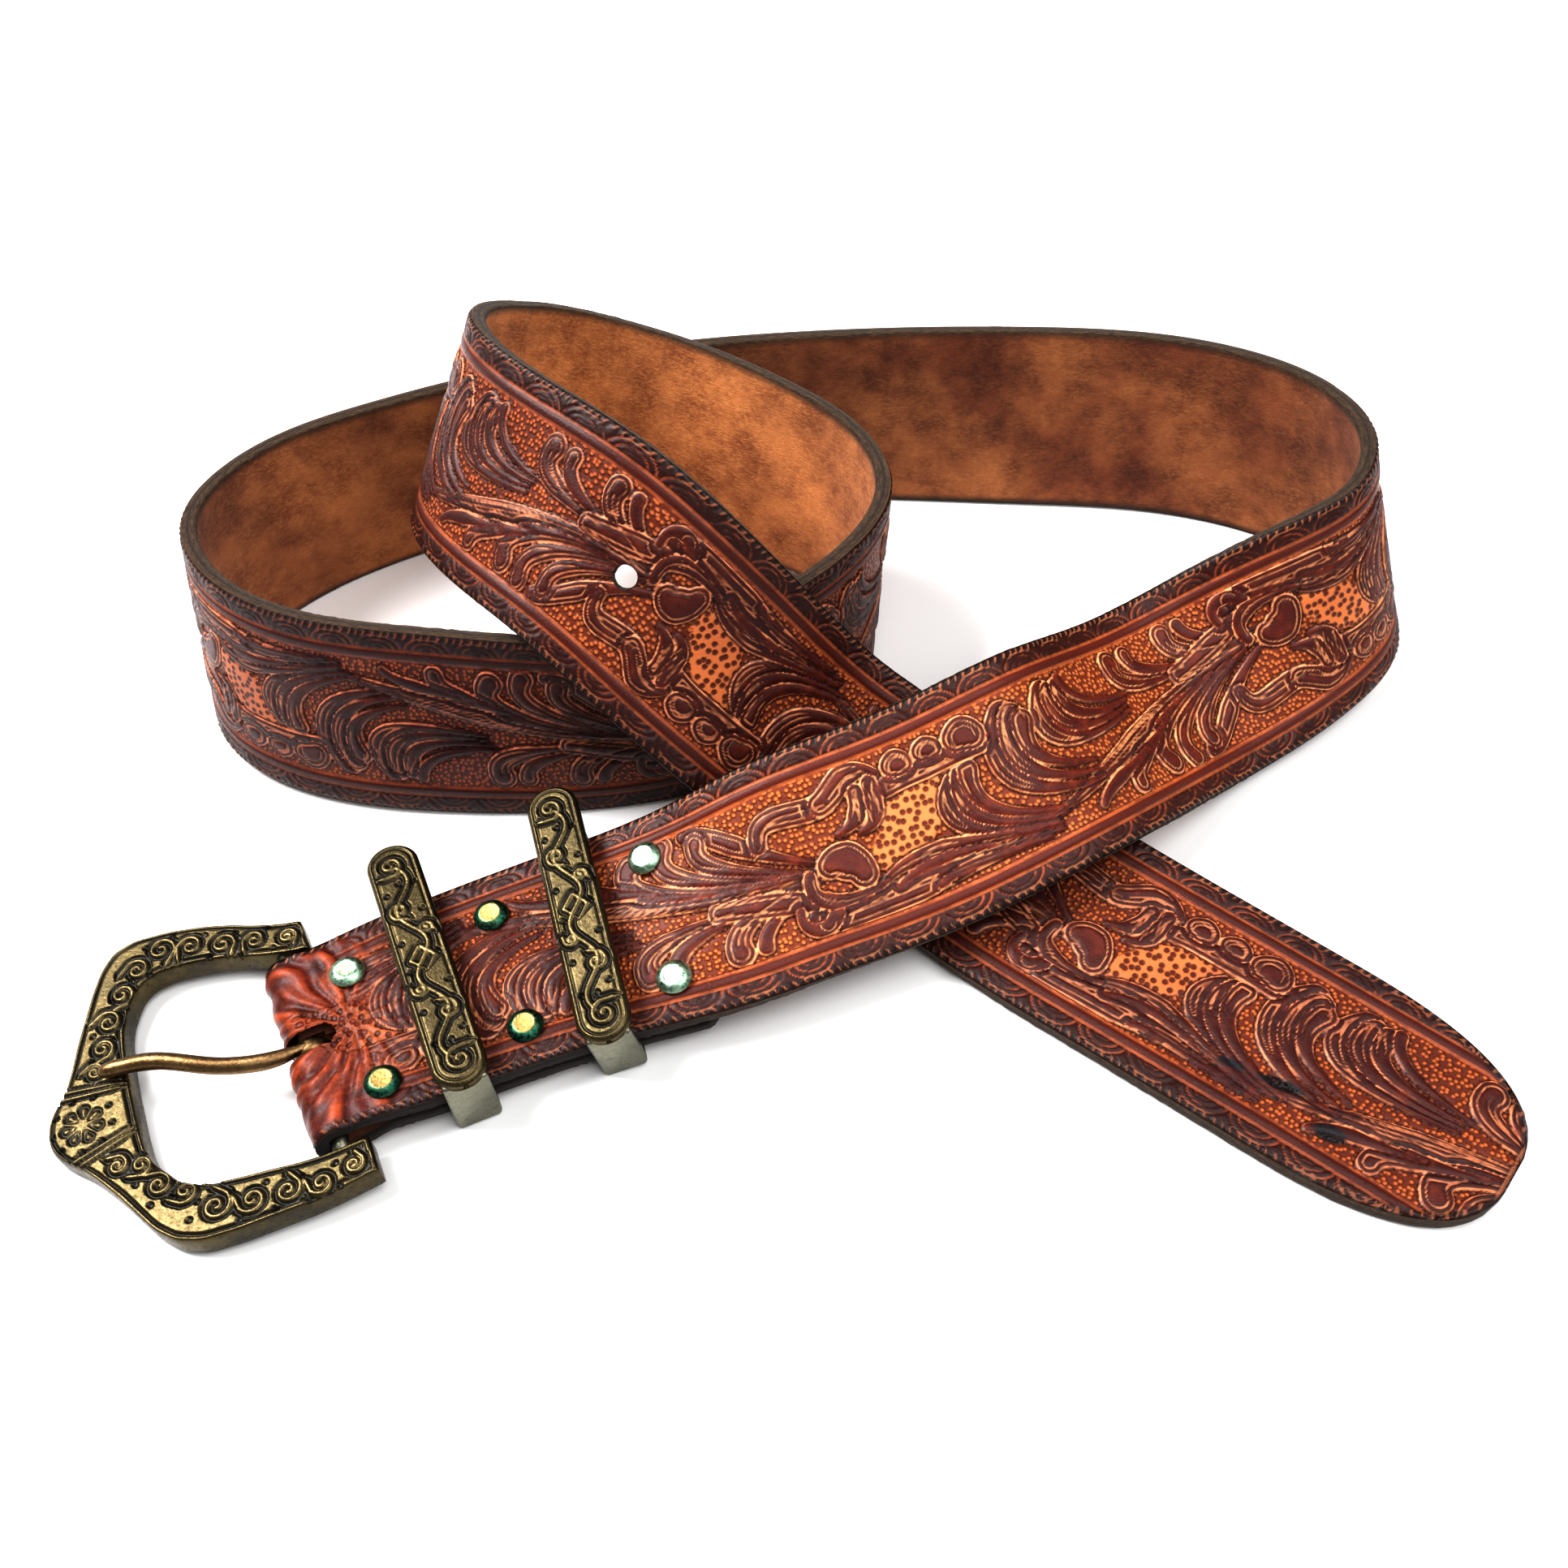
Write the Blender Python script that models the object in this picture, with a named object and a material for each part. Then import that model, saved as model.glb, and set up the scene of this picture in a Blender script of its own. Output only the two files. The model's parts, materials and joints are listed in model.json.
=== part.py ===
"""Western tooled belt, lying loosely coiled: strap, cast buckle, prong, two loops, six rivets."""
import math
from collections import namedtuple

import bmesh
import bpy
import numpy as np
from mathutils import Matrix, Vector

for old in list(bpy.data.objects):
    bpy.data.objects.remove(old, do_unlink=True)

MM = 0.001

# Sizes, millimetres and degrees
STRAP_THICK = 3.8
SKIVED_THICK = 3.0
FULL_WIDTH = 44.5
FOLD_WIDTH = 41.0
BUCKLE_END_WIDTH = 43.5
WIDTH_GROWS_FROM = 10.0
WIDTH_GROWS_TO = 100.0
STRAP_LENGTH = 1168.0
TAPER_LENGTH = 42.0
EDGE_CHAMFER = 0.5
STATION_STEP = 6.5

BAR_RADIUS = 1.7
GAP = 0.3
BAR_AT = 5.0
FOLD_RADIUS = BAR_RADIUS + GAP + SKIVED_THICK / 2
TURN_BACK_END = 82.0
SLOT_WIDTH = 5.0
SLOT_BEHIND_BAR = 5.2
SLOT_UNDER = 15.0

PRONG_HOLES = (962.8, 1017.4, 1042.8, 1068.2)
PRONG_HOLE_RADIUS = 2.4
RIVET_ROWS = ((15.5, -14.9, 11.3), (44.0, -14.2, 11.9), (75.0, -13.4, 12.7))
RIVET_HOLE_RADIUS = 1.8

FRAME_DEEP = 6.0
FRAME_DROP = 4.85
RING_RADIUS = 3.6

KEEPERS_AT = {"keeper_near": 29.9, "keeper_far": 60.5}
KEEPER_LONG = 8.6
KEEPER_SHIFT = 0.3
KEEPER_INSIDE = 46.0
KEEPER_LEG = 2.0
KEEPER_RAIL = 1.2
KEEPER_CLEAR = 5.0
KEEPER_SLACK = 0.5
PLATE_LENGTH = 57.6
PLATE_WIDTH = 10.2
PLATE_SHIFT = 3.0
PLATE_THICK = 2.2

# Middle of the bounding box in the plan the route was measured on
CENTRE_X = 1.0
CENTRE_Y = 215.53

# The strap's middle line as it lies: plan position, clearance of its lower edge over the table,
# and how far the tooled face is turned up from lying flat (0) to standing on edge (90).
Row = namedtuple("Row", "x y lift lean")
ROUTE = (
    Row(-97.0, 156.8, 7.0, 0),
    Row(-76.2, 164.7, 5.9, 1),
    Row(-55.9, 171.6, 5.5, 3),
    Row(-34.7, 176.6, 6.1, 7),
    Row(-14.5, 179.6, 7.3, 16),
    Row(0.7, 183.0, 7.9, 25),
    Row(14.4, 186.4, 8.2, 30),
    Row(28.5, 190.5, 9.8, 31),
    Row(50.2, 198.8, 12.6, 32),
    Row(69.7, 213.0, 6.8, 28),
    Row(90.5, 227.3, 0.4, 33),
    Row(113.9, 235.9, 1.1, 55),
    Row(129.4, 246.0, 2.6, 66),
    Row(134.6, 264.1, 1.8, 78),
    Row(128.0, 282.0, 0.4, 90),
    Row(102.6, 301.3, 0.2, 99),
    Row(65.0, 311.4, 0.1, 102),
    Row(13.4, 318.2, 0.1, 96),
    Row(-38.5, 318.4, 0.1, 90),
    Row(-88.9, 305.6, 0.1, 90),
    Row(-111.6, 293.1, 0.1, 91),
    Row(-125.2, 271.0, 0.5, 85),
    Row(-117.8, 246.8, 1.2, 76),
    Row(-95.8, 231.8, 0.8, 75),
    Row(-70.4, 225.2, 0.4, 77),
    Row(-44.9, 221.3, 0.1, 82),
    Row(-19.1, 222.4, 0.1, 86),
    Row(3.9, 232.0, 0.1, 87),
    Row(17.8, 245.6, 0.1, 90),
    Row(23.8, 263.8, 0.1, 97),
    Row(17.9, 281.4, 1.0, 101),
    Row(2.6, 293.7, 4.4, 105),
    Row(-20.6, 303.3, 11.0, 110),
    Row(-44.4, 303.9, 19.9, 104),
    Row(-61.9, 290.2, 32.6, 77),
    Row(-61.9, 266.9, 43.6, 56),
    Row(-47.6, 245.5, 46.9, 46),
    Row(-29.6, 228.5, 43.0, 42),
    Row(-10.8, 218.3, 23.6, 43),
    Row(8.2, 212.6, 3.8, 34),
    Row(27.4, 199.8, 0.6, 19),
    Row(46.2, 182.2, 0.2, 10),
    Row(65.6, 164.7, 0.1, 6),
    Row(89.6, 143.3, 0.1, 3),
    Row(121.3, 114.2, 0.1, 0),
)

# Half the buckle's plan, from the middle of the front rail to the end of an arm: ahead of the bar
# and out from the centre line, outside and window side, and the centre line's set to the far side.
Rail = namedtuple("Rail", "outer_ahead outer_out inner_ahead inner_out aside")
RAILS = (
    Rail(49.0, 0.0, 32.6, 0.0, 3.7),
    Rail(48.6, 2.4, 32.6, 2.4, 3.7),
    Rail(47.6, 4.6, 32.6, 4.8, 3.7),
    Rail(46.0, 6.6, 32.5, 7.2, 3.8),
    Rail(44.2, 8.8, 32.4, 9.6, 4.0),
    Rail(42.6, 11.8, 32.2, 12.0, 4.8),
    Rail(40.8, 15.8, 31.8, 14.6, 5.8),
    Rail(38.6, 20.2, 31.0, 17.1, 6.4),
    Rail(36.4, 25.0, 29.6, 19.6, 6.8),
    Rail(33.8, 30.0, 28.0, 22.2, 6.8),
    Rail(30.8, 33.4, 25.4, 24.0, 6.6),
    Rail(26.6, 35.0, 21.6, 24.9, 6.0),
    Rail(20.0, 35.0, 17.0, 25.0, 5.0),
    Rail(13.5, 34.2, 12.0, 24.8, 3.8),
    Rail(8.0, 33.2, 7.6, 24.4, 2.4),
    Rail(3.8, 32.0, 3.8, 23.8, 1.2),
    Rail(0.0, 31.0, 0.0, 23.2, 0.4),
    Rail(-2.6, 30.4, -2.6, 22.8, 0.0),
    Rail(-5.2, 30.0, -5.2, 22.6, -0.3),
)

# Across a rail: share of the way out, and height as a share of half the depth.
Across = namedtuple("Across", "out height")
RAIL_SECTION = (
    Across(0.00, -0.75),
    Across(0.00, 0.35),
    Across(0.10, 0.80),
    Across(0.26, 1.00),
    Across(0.74, 1.00),
    Across(0.90, 0.80),
    Across(1.00, 0.35),
    Across(1.00, -0.75),
    Across(0.90, -1.00),
    Across(0.10, -1.00),
)

# The prong's wire: ahead of the bar, to the far side, above the bar's axis, and radius.
Wire = namedtuple("Wire", "ahead far up radius")
PRONG = (
    Wire(-0.6, 0.3, 2.75, 0.80),
    Wire(1.6, 0.3, 2.80, 1.00),
    Wire(4.6, 0.1, 3.05, 1.40),
    Wire(8.5, 0.4, 3.45, 1.65),
    Wire(13.0, 1.6, 4.00, 1.65),
    Wire(17.0, 3.2, 4.60, 1.65),
    Wire(21.0, 5.4, 5.30, 1.65),
    Wire(25.0, 7.8, 5.70, 1.65),
    Wire(29.0, 9.7, 5.50, 1.65),
    Wire(32.5, 10.8, 5.20, 1.55),
    Wire(35.8, 11.6, 4.85, 1.40),
    Wire(37.4, 11.9, 4.60, 0.80),
)


def new_material(name, colour, metallic, rough):
    mat = bpy.data.materials.new(name)
    mat.use_nodes = True
    shader = mat.node_tree.nodes["Principled BSDF"]
    shader.inputs["Base Color"].default_value = (*colour, 1)
    shader.inputs["Metallic"].default_value = metallic
    shader.inputs["Roughness"].default_value = rough
    return mat


LEATHER = new_material("tooled_leather", (0.20, 0.06, 0.025), 0.0, 0.45)
BRASS = new_material("antique_brass", (0.30, 0.24, 0.12), 1.0, 0.42)


def smooth_step(x, a, b):
    k = min(1.0, max(0.0, (x - a) / (b - a)))
    return k * k * (3 - 2 * k)


def half_width(s):
    """Half the strap's width; s runs from the fold to the tip."""
    grown = smooth_step(s, WIDTH_GROWS_FROM, WIDTH_GROWS_TO)
    full = (BUCKLE_END_WIDTH + (FULL_WIDTH - BUCKLE_END_WIDTH) * grown) / 2
    full -= (BUCKLE_END_WIDTH - FOLD_WIDTH) / 2 * (1 - smooth_step(s, 8.0, 26.0))
    k = 1 - min(1.0, max(0.0, (STRAP_LENGTH - s) / TAPER_LENGTH))
    return max(3.0, full * (1 - k ** 2.7) ** (1 / 2.6))


def thickness(s):
    return SKIVED_THICK + (STRAP_THICK - SKIVED_THICK) * smooth_step(s, 6.0, 24.0)


def spline(knots, values, at):
    """Natural cubic spline through the values at the knots."""
    n = len(knots)
    h = np.diff(knots)
    system = np.eye(n)
    right = np.zeros(n)
    for i in range(1, n - 1):
        system[i, i - 1:i + 2] = h[i - 1], 2 * (h[i - 1] + h[i]), h[i]
        right[i] = 6 * ((values[i + 1] - values[i]) / h[i] - (values[i] - values[i - 1]) / h[i - 1])
    bend = np.linalg.solve(system, right)
    i = np.clip(np.searchsorted(knots, at) - 1, 0, n - 2)
    a = (knots[i + 1] - at) / h[i]
    b = (at - knots[i]) / h[i]
    cubic = ((a ** 3 - a) * bend[i] + (b ** 3 - b) * bend[i + 1]) * h[i] ** 2 / 6
    return a * values[i] + b * values[i + 1] + cubic


class Route:
    """The strap's middle surface: where it is and which way it faces at a distance s."""

    def __init__(self, rows):
        plan = np.array([(r.x - CENTRE_X, r.y - CENTRE_Y) for r in rows])
        chord = np.concatenate([[0], np.cumsum(np.hypot(*np.diff(plan, axis=0).T))])
        fine = np.linspace(0, chord[-1], 6000)
        x = spline(chord, plan[:, 0], fine)
        y = spline(chord, plan[:, 1], fine)
        lift = spline(chord, np.array([r.lift for r in rows], float), fine)
        lean = spline(chord, np.array([r.lean for r in rows], float), fine)
        turn = np.radians(lean)
        z = lift.copy()
        for _ in range(3):
            line = np.stack([x, y, z], 1)
            run = np.concatenate([[0], np.cumsum(np.linalg.norm(np.diff(line, axis=0), axis=1))])
            grown = np.clip((run - WIDTH_GROWS_FROM) / (WIDTH_GROWS_TO - WIDTH_GROWS_FROM), 0, 1)
            grown = grown * grown * (3 - 2 * grown)
            wide = BUCKLE_END_WIDTH + (FULL_WIDTH - BUCKLE_END_WIDTH) * grown
            z = lift + wide / 2 * np.abs(np.sin(turn)) + STRAP_THICK / 2 * np.abs(np.cos(turn))
        self.run = run
        self.line = np.stack([x, y, z], 1)
        self.lean = turn
        self.slope = np.gradient(self.line, run, axis=0)

    def at(self, s):
        """Middle point, direction along, direction across (to the upper edge), tooled side."""
        mid = [np.interp(s, self.run, self.line[:, k]) for k in range(3)]
        along = Vector([np.interp(s, self.run, self.slope[:, k]) for k in range(3)]).normalized()
        if s > self.run[-1]:
            mid = [m + a * (s - self.run[-1]) for m, a in zip(mid, along)]
        turn = float(np.interp(s, self.run, self.lean))
        left = Vector((0, 0, 1)).cross(along).normalized()
        up = along.cross(left)
        across = left * math.cos(turn) + up * math.sin(turn)
        return Vector(mid), along, across, along.cross(across)


ROUTE_LINE = Route(ROUTE)


def seat(s, out):
    """Matrix of a fitting on the strap's middle surface, square to it where it stands."""
    spots = []
    for d in (-3.0, 0.0, 3.0):
        mid, _, across, _ = ROUTE_LINE.at(s + d)
        spots.append(mid + across * out)
    along = (spots[2] - spots[0]).normalized()
    face = along.cross(ROUTE_LINE.at(s)[2]).normalized()
    m = Matrix((along, face.cross(along), face)).transposed().to_4x4()
    m.translation = spots[1]
    return m


def under_layer_gap(s):
    """Distance between the middles of the two layers by the buckle."""
    flat = (thickness(s) + SKIVED_THICK) / 2 + GAP
    curled = 1.0 * smooth_step(s, 66.0, TURN_BACK_END)
    return 2 * FOLD_RADIUS + (flat - 2 * FOLD_RADIUS) * smooth_step(s, BAR_AT, 17.0) + curled


def sections():
    """Stations from the end of the turn-back, round the fold, to the tip."""
    rows = []
    count = 13
    for i in range(count):
        s = TURN_BACK_END + (BAR_AT - TURN_BACK_END) * i / count
        mid, along, across, face = ROUTE_LINE.at(s)
        half = half_width(s) - 3.0 * (1 - smooth_step(TURN_BACK_END - s, 0.0, 4.0))
        rows.append((mid - face * under_layer_gap(s), across, -face, half, SKIVED_THICK))
    mid, along, across, face = ROUTE_LINE.at(BAR_AT)
    axis = mid - face * FOLD_RADIUS
    turns = 12
    for i in range(turns):
        angle = math.pi * (1 - i / turns)
        out = face * math.cos(angle) - along * math.sin(angle)
        rows.append((axis + out * FOLD_RADIUS, across, out, FOLD_WIDTH / 2, SKIVED_THICK))
    tip = [STRAP_LENGTH - d for d in (42, 36, 30, 24, 19, 15, 11, 8, 5.5, 3.5, 2, 1, 0.4)]
    run = list(np.linspace(BAR_AT, tip[0], round((tip[0] - BAR_AT) / STATION_STEP) + 1)) + tip[1:]
    for s in run:
        mid, along, across, face = ROUTE_LINE.at(s)
        rows.append((mid, across, face, half_width(s), thickness(s)))
    return rows


def sweep(name, rows, material):
    """Join closed rings of points into one closed body."""
    bm = bmesh.new()
    rings = [[bm.verts.new(p) for p in row] for row in rows]
    n = len(rings[0])
    for a, b in zip(rings, rings[1:]):
        for i in range(n):
            j = (i + 1) % n
            bm.faces.new((a[i], a[j], b[j], b[i]))
    bm.faces.new(rings[0][::-1])
    bm.faces.new(rings[-1])
    bmesh.ops.recalc_face_normals(bm, faces=bm.faces)
    bmesh.ops.triangulate(bm, faces=bm.faces)
    return finish(name, bm, material)


def finish(name, bm, material, origin=None, smooth=32):
    """Turn a bmesh given in millimetres into a named object in metres."""
    origin = origin if origin is not None else Vector((0, 0, 0))
    bmesh.ops.translate(bm, verts=bm.verts, vec=-origin)
    bmesh.ops.scale(bm, verts=bm.verts, vec=(MM, MM, MM))
    mesh = bpy.data.meshes.new(name)
    bm.to_mesh(mesh)
    bm.free()
    mesh.polygons.foreach_set("use_smooth", [True] * len(mesh.polygons))
    mesh.set_sharp_from_angle(angle=math.radians(smooth))
    mesh.materials.append(material)
    ob = bpy.data.objects.new(name, mesh)
    ob.location = origin * MM
    bpy.context.scene.collection.objects.link(ob)
    return ob


def frame_matrix(point, x_axis, y_axis, z_axis):
    m = Matrix((x_axis, y_axis, z_axis)).transposed().to_4x4()
    m.translation = point
    return m


def cutter(name, bm, place):
    bmesh.ops.transform(bm, matrix=place, verts=bm.verts)
    bmesh.ops.recalc_face_normals(bm, faces=bm.faces)
    ob = finish(name, bm, LEATHER)
    ob.hide_render = True
    ob.display_type = "WIRE"
    return ob


def cut(target, tool, operation="DIFFERENCE"):
    mod = target.modifiers.new(tool.name, "BOOLEAN")
    mod.operation = operation
    mod.solver = "EXACT"
    mod.object = tool


def prism(outline, low, high):
    """A closed upright body over a plan outline."""
    bm = bmesh.new()
    base = bm.faces.new([bm.verts.new((x, y, low)) for x, y in outline])
    moved = bmesh.ops.extrude_face_region(bm, geom=[base])["geom"]
    tops = [v for v in moved if isinstance(v, bmesh.types.BMVert)]
    bmesh.ops.translate(bm, verts=tops, vec=(0, 0, high - low))
    bmesh.ops.recalc_face_normals(bm, faces=bm.faces)
    return bm


def rod(radius, low, high, sides):
    """An upright cylinder."""
    turn = [2 * math.pi * i / sides for i in range(sides)]
    return prism([(radius * math.cos(a), radius * math.sin(a)) for a in turn], low, high)


def make_strap():
    rings = []
    for mid, across, face, half, thick in sections():
        c = EDGE_CHAMFER
        corners = ((-half, c - thick / 2), (c - half, -thick / 2), (half - c, -thick / 2),
                   (half, c - thick / 2), (half, thick / 2 - c), (half - c, thick / 2),
                   (c - half, thick / 2), (-half, thick / 2 - c))
        rings.append([mid + across * v + face * n for v, n in corners])
    strap = sweep("strap", rings, LEATHER)
    holes = [(s, 0.0, PRONG_HOLE_RADIUS, 4.0, 20) for s in PRONG_HOLES]
    for s, *pair in RIVET_ROWS:
        holes += [(s, out, RIVET_HOLE_RADIUS, 8.0, 12) for out in pair]
    for i, (s, out, radius, reach, sides) in enumerate(holes):
        cut(strap, cutter(f"cut_hole_{i}", rod(radius, -reach, 3.2, sides), seat(s, out)))
    mid, along, across, face = ROUTE_LINE.at(BAR_AT)
    place = frame_matrix(mid - face * FOLD_RADIUS, along, across, face)
    for name, reach, low, high in (("top", SLOT_BEHIND_BAR, -2.0, 9.0),
                                   ("under", SLOT_UNDER, -9.0, 0.0)):
        r = SLOT_WIDTH / 2
        turn = [math.pi * i / 8 - math.pi / 2 for i in range(9)]
        outline = [(reach - r + r * math.cos(a), r * math.sin(a)) for a in turn]
        outline += [(-9.0, r), (-9.0, -r)]
        cut(strap, cutter(f"cut_slot_{name}", prism(outline, low, high), place))
    return strap


def bar_frame():
    """Axes of the buckle at its bar: ahead to the knob, to the near side, and up."""
    mid, along, across, face = ROUTE_LINE.at(BAR_AT)
    drop = Matrix.Rotation(math.radians(FRAME_DROP), 3, across)
    ahead = (drop @ -along).normalized()
    if ahead.z > (-along).z:
        ahead = (drop.inverted() @ -along).normalized()
    up = across.cross(-ahead) * -1
    if up.z < 0:
        up = -up
    return mid - face * FOLD_RADIUS, ahead, -across, up


def make_buckle():
    axis, ahead, near, up = bar_frame()
    halves = [(r, 1) for r in reversed(RAILS)] + [(r, -1) for r in RAILS[1:]]
    rings = []
    for rail, side in halves:
        inner = Vector((rail.inner_ahead, side * rail.inner_out - rail.aside))
        outer = Vector((rail.outer_ahead, side * rail.outer_out - rail.aside))
        ring = []
        for a in RAIL_SECTION:
            p = inner.lerp(outer, a.out)
            ring.append(axis + ahead * p.x + near * p.y + up * (a.height * FRAME_DEEP / 2))
        rings.append(ring)
    bm = bmesh.new()
    loops = [[bm.verts.new(p) for p in row] for row in rings]
    n = len(RAIL_SECTION)
    for a, b in zip(loops, loops[1:]):
        for i in range(n):
            j = (i + 1) % n
            bm.faces.new((a[i], a[j], b[j], b[i]))
    bm.faces.new(loops[0][::-1])
    bm.faces.new(loops[-1])
    bmesh.ops.recalc_face_normals(bm, faces=bm.faces)
    frame = finish("buckle_frame", bm, BRASS, origin=axis)
    bar = rod(BAR_RADIUS, -28.0, 26.0, 20)
    place = frame_matrix(axis, ahead, up, near)
    bmesh.ops.transform(bar, matrix=place, verts=bar.verts)
    bmesh.ops.recalc_face_normals(bar, faces=bar.faces)
    tool = finish("join_bar", bar, BRASS)
    tool.hide_render = True
    tool.display_type = "WIRE"
    cut(frame, tool, "UNION")
    return frame


def tube(points, radii, sides):
    """A round wire through the points, closed at both ends."""
    bm = bmesh.new()
    rings = []
    for i, p in enumerate(points):
        ahead = (points[min(i + 1, len(points) - 1)] - points[max(i - 1, 0)]).normalized()
        side = ahead.cross(Vector((0, 0, 1))).normalized()
        top = side.cross(ahead)
        turn = [2 * math.pi * k / sides for k in range(sides)]
        rings.append([bm.verts.new(p + (side * math.cos(a) + top * math.sin(a)) * radii[i])
                      for a in turn])
    for a, b in zip(rings, rings[1:]):
        for i in range(sides):
            j = (i + 1) % sides
            bm.faces.new((a[i], a[j], b[j], b[i]))
    bm.faces.new(rings[0][::-1])
    bm.faces.new(rings[-1])
    bmesh.ops.recalc_face_normals(bm, faces=bm.faces)
    return bm


def make_prong():
    axis, ahead, near, up = bar_frame()
    points = [axis + ahead * w.ahead - near * w.far + up * w.up for w in PRONG]
    wire = tube(points, [w.radius for w in PRONG], 12)
    prong = finish("prong", wire, BRASS, origin=axis)
    ring = bmesh.new()
    loops = []
    steps = 24
    inner = BAR_RADIUS + GAP
    for i in range(steps):
        a = 2 * math.pi * i / steps
        out = ahead * math.cos(a) + up * math.sin(a)
        section = ((inner, -1.65), (RING_RADIUS - 0.4, -1.65), (RING_RADIUS, -1.15),
                   (RING_RADIUS, 1.15), (RING_RADIUS - 0.4, 1.65), (inner, 1.65))
        loops.append([ring.verts.new(axis + out * r + near * (w - 0.3)) for r, w in section])
    for a, b in zip(loops, loops[1:] + loops[:1]):
        for i in range(6):
            j = (i + 1) % 6
            ring.faces.new((a[i], a[j], b[j], b[i]))
    bmesh.ops.recalc_face_normals(ring, faces=ring.faces)
    tool = finish("join_eye", ring, BRASS)
    tool.hide_render = True
    tool.display_type = "WIRE"
    cut(prong, tool, "UNION")
    return prong


def make_keeper(name, s):
    mid, along, across, face = ROUTE_LINE.at(s)
    place = frame_matrix(mid + across * KEEPER_SHIFT, along, across, face)
    above = STRAP_THICK / 2 + KEEPER_CLEAR
    below = -(STRAP_THICK / 2 + GAP + SKIVED_THICK + KEEPER_SLACK)
    half = KEEPER_INSIDE / 2
    # the band: a closed rectangle round both layers, its corners rounded on the outside
    bm = bmesh.new()
    outer = [(-half - KEEPER_LEG, above + 0.8), (-half - KEEPER_LEG, below - 0.4),
             (-half - KEEPER_LEG + 0.8, below - KEEPER_RAIL),
             (half + KEEPER_LEG - 0.8, below - KEEPER_RAIL),
             (half + KEEPER_LEG, below - 0.4), (half + KEEPER_LEG, above + 0.8)]
    inner = [(-half, above), (-half, below), (-half, below), (half, below), (half, below),
             (half, above)]
    wide = KEEPER_LONG / 2
    ends = []
    for x in (-wide, wide):
        ends.append(([bm.verts.new((x, y, z)) for y, z in outer],
                     [bm.verts.new((x, y, z)) for y, z in inner]))
    (ao, ai), (bo, bi) = ends
    n = len(outer)
    for i in range(n):
        j = (i + 1) % n
        bm.faces.new((ao[i], ao[j], bo[j], bo[i]))
        bm.faces.new((ai[i], ai[j], bi[j], bi[i]))
        bm.faces.new((ao[i], ao[j], ai[j], ai[i]))
        bm.faces.new((bo[i], bo[j], bi[j], bi[i]))
    bmesh.ops.remove_doubles(bm, verts=bm.verts, dist=0.0005)
    bmesh.ops.recalc_face_normals(bm, faces=bm.faces)
    bmesh.ops.transform(bm, matrix=place, verts=bm.verts)
    band = finish("join_" + name, bm, BRASS)
    band.hide_render = True
    band.display_type = "WIRE"
    # the plate: a long oval with a bevelled upper edge
    r = PLATE_WIDTH / 2
    straight = PLATE_LENGTH / 2 - r
    turn = [math.pi * i / 10 for i in range(11)]
    outline = [(r * math.cos(a), straight + r * math.sin(a)) for a in turn]
    outline += [(-x, -y) for x, y in outline]
    plate = bmesh.new()
    loops = []
    for height, inset in ((0.0, 0.0), (PLATE_THICK - 0.9, 0.0), (PLATE_THICK - 0.25, 0.5),
                          (PLATE_THICK, 1.3)):
        k = (r - inset) / r
        loop = []
        for x, y in outline:
            end = math.copysign(straight, y)
            loop.append(plate.verts.new((x * k, PLATE_SHIFT + end + (y - end) * k,
                                         above + height)))
        loops.append(loop)
    m = len(outline)
    for a, b in zip(loops, loops[1:]):
        for i in range(m):
            j = (i + 1) % m
            plate.faces.new((a[i], a[j], b[j], b[i]))
    plate.faces.new(loops[0][::-1])
    plate.faces.new(loops[-1])
    bmesh.ops.recalc_face_normals(plate, faces=plate.faces)
    bmesh.ops.transform(plate, matrix=place, verts=plate.verts)
    keeper = finish(name, plate, BRASS)
    cut(keeper, band, "UNION")
    return keeper


def make_rivet(name, s, out):
    top = thickness(s) / 2 + 0.45
    widest = max(under_layer_gap(s - 3.4), under_layer_gap(s + 3.4))
    under = -(widest + SKIVED_THICK / 2 + 0.7)
    profile = ((0.0, top + 1.35), (1.3, top + 1.25), (2.4, top + 0.9), (3.2, top + 0.4),
               (3.5, top), (1.4, top), (1.4, under), (3.2, under), (3.2, under - 0.7),
               (0.0, under - 0.7))
    bm = bmesh.new()
    chain = [bm.verts.new((r, 0, z)) for r, z in profile]
    edges = [bm.edges.new(pair) for pair in zip(chain, chain[1:])]
    bmesh.ops.spin(bm, geom=chain + edges, cent=(0, 0, 0), axis=(0, 0, 1),
                   angle=2 * math.pi, steps=16, use_merge=True)
    bmesh.ops.remove_doubles(bm, verts=bm.verts, dist=0.001)
    bmesh.ops.recalc_face_normals(bm, faces=bm.faces)
    bmesh.ops.transform(bm, matrix=seat(s, out), verts=bm.verts)
    return finish(name, bm, BRASS)


make_strap()
make_buckle()
make_prong()
for keeper_name, keeper_at in KEEPERS_AT.items():
    make_keeper(keeper_name, keeper_at)
number = 0
for rivet_at, *rivet_pair in RIVET_ROWS:
    for rivet_out in rivet_pair:
        number += 1
        make_rivet(f"rivet_{number}", rivet_at, rivet_out)
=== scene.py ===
# %% [markdown]
# # A western tooled belt, lying loosely coiled
# The belt is one leather strap with a floral pattern pressed into its face, a cast brass buckle
# with a loose prong, two metal loops and six rivets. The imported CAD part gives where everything
# is. This script dresses it: it bends a fine grid along the strap's route, presses the pattern
# into that grid, casts the scrolls on the metal, and lights it on a pale floor.

# %% Setup
import json
import math
from collections import namedtuple

import bmesh
import bpy
import numpy as np
from mathutils import Matrix, Vector

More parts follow.
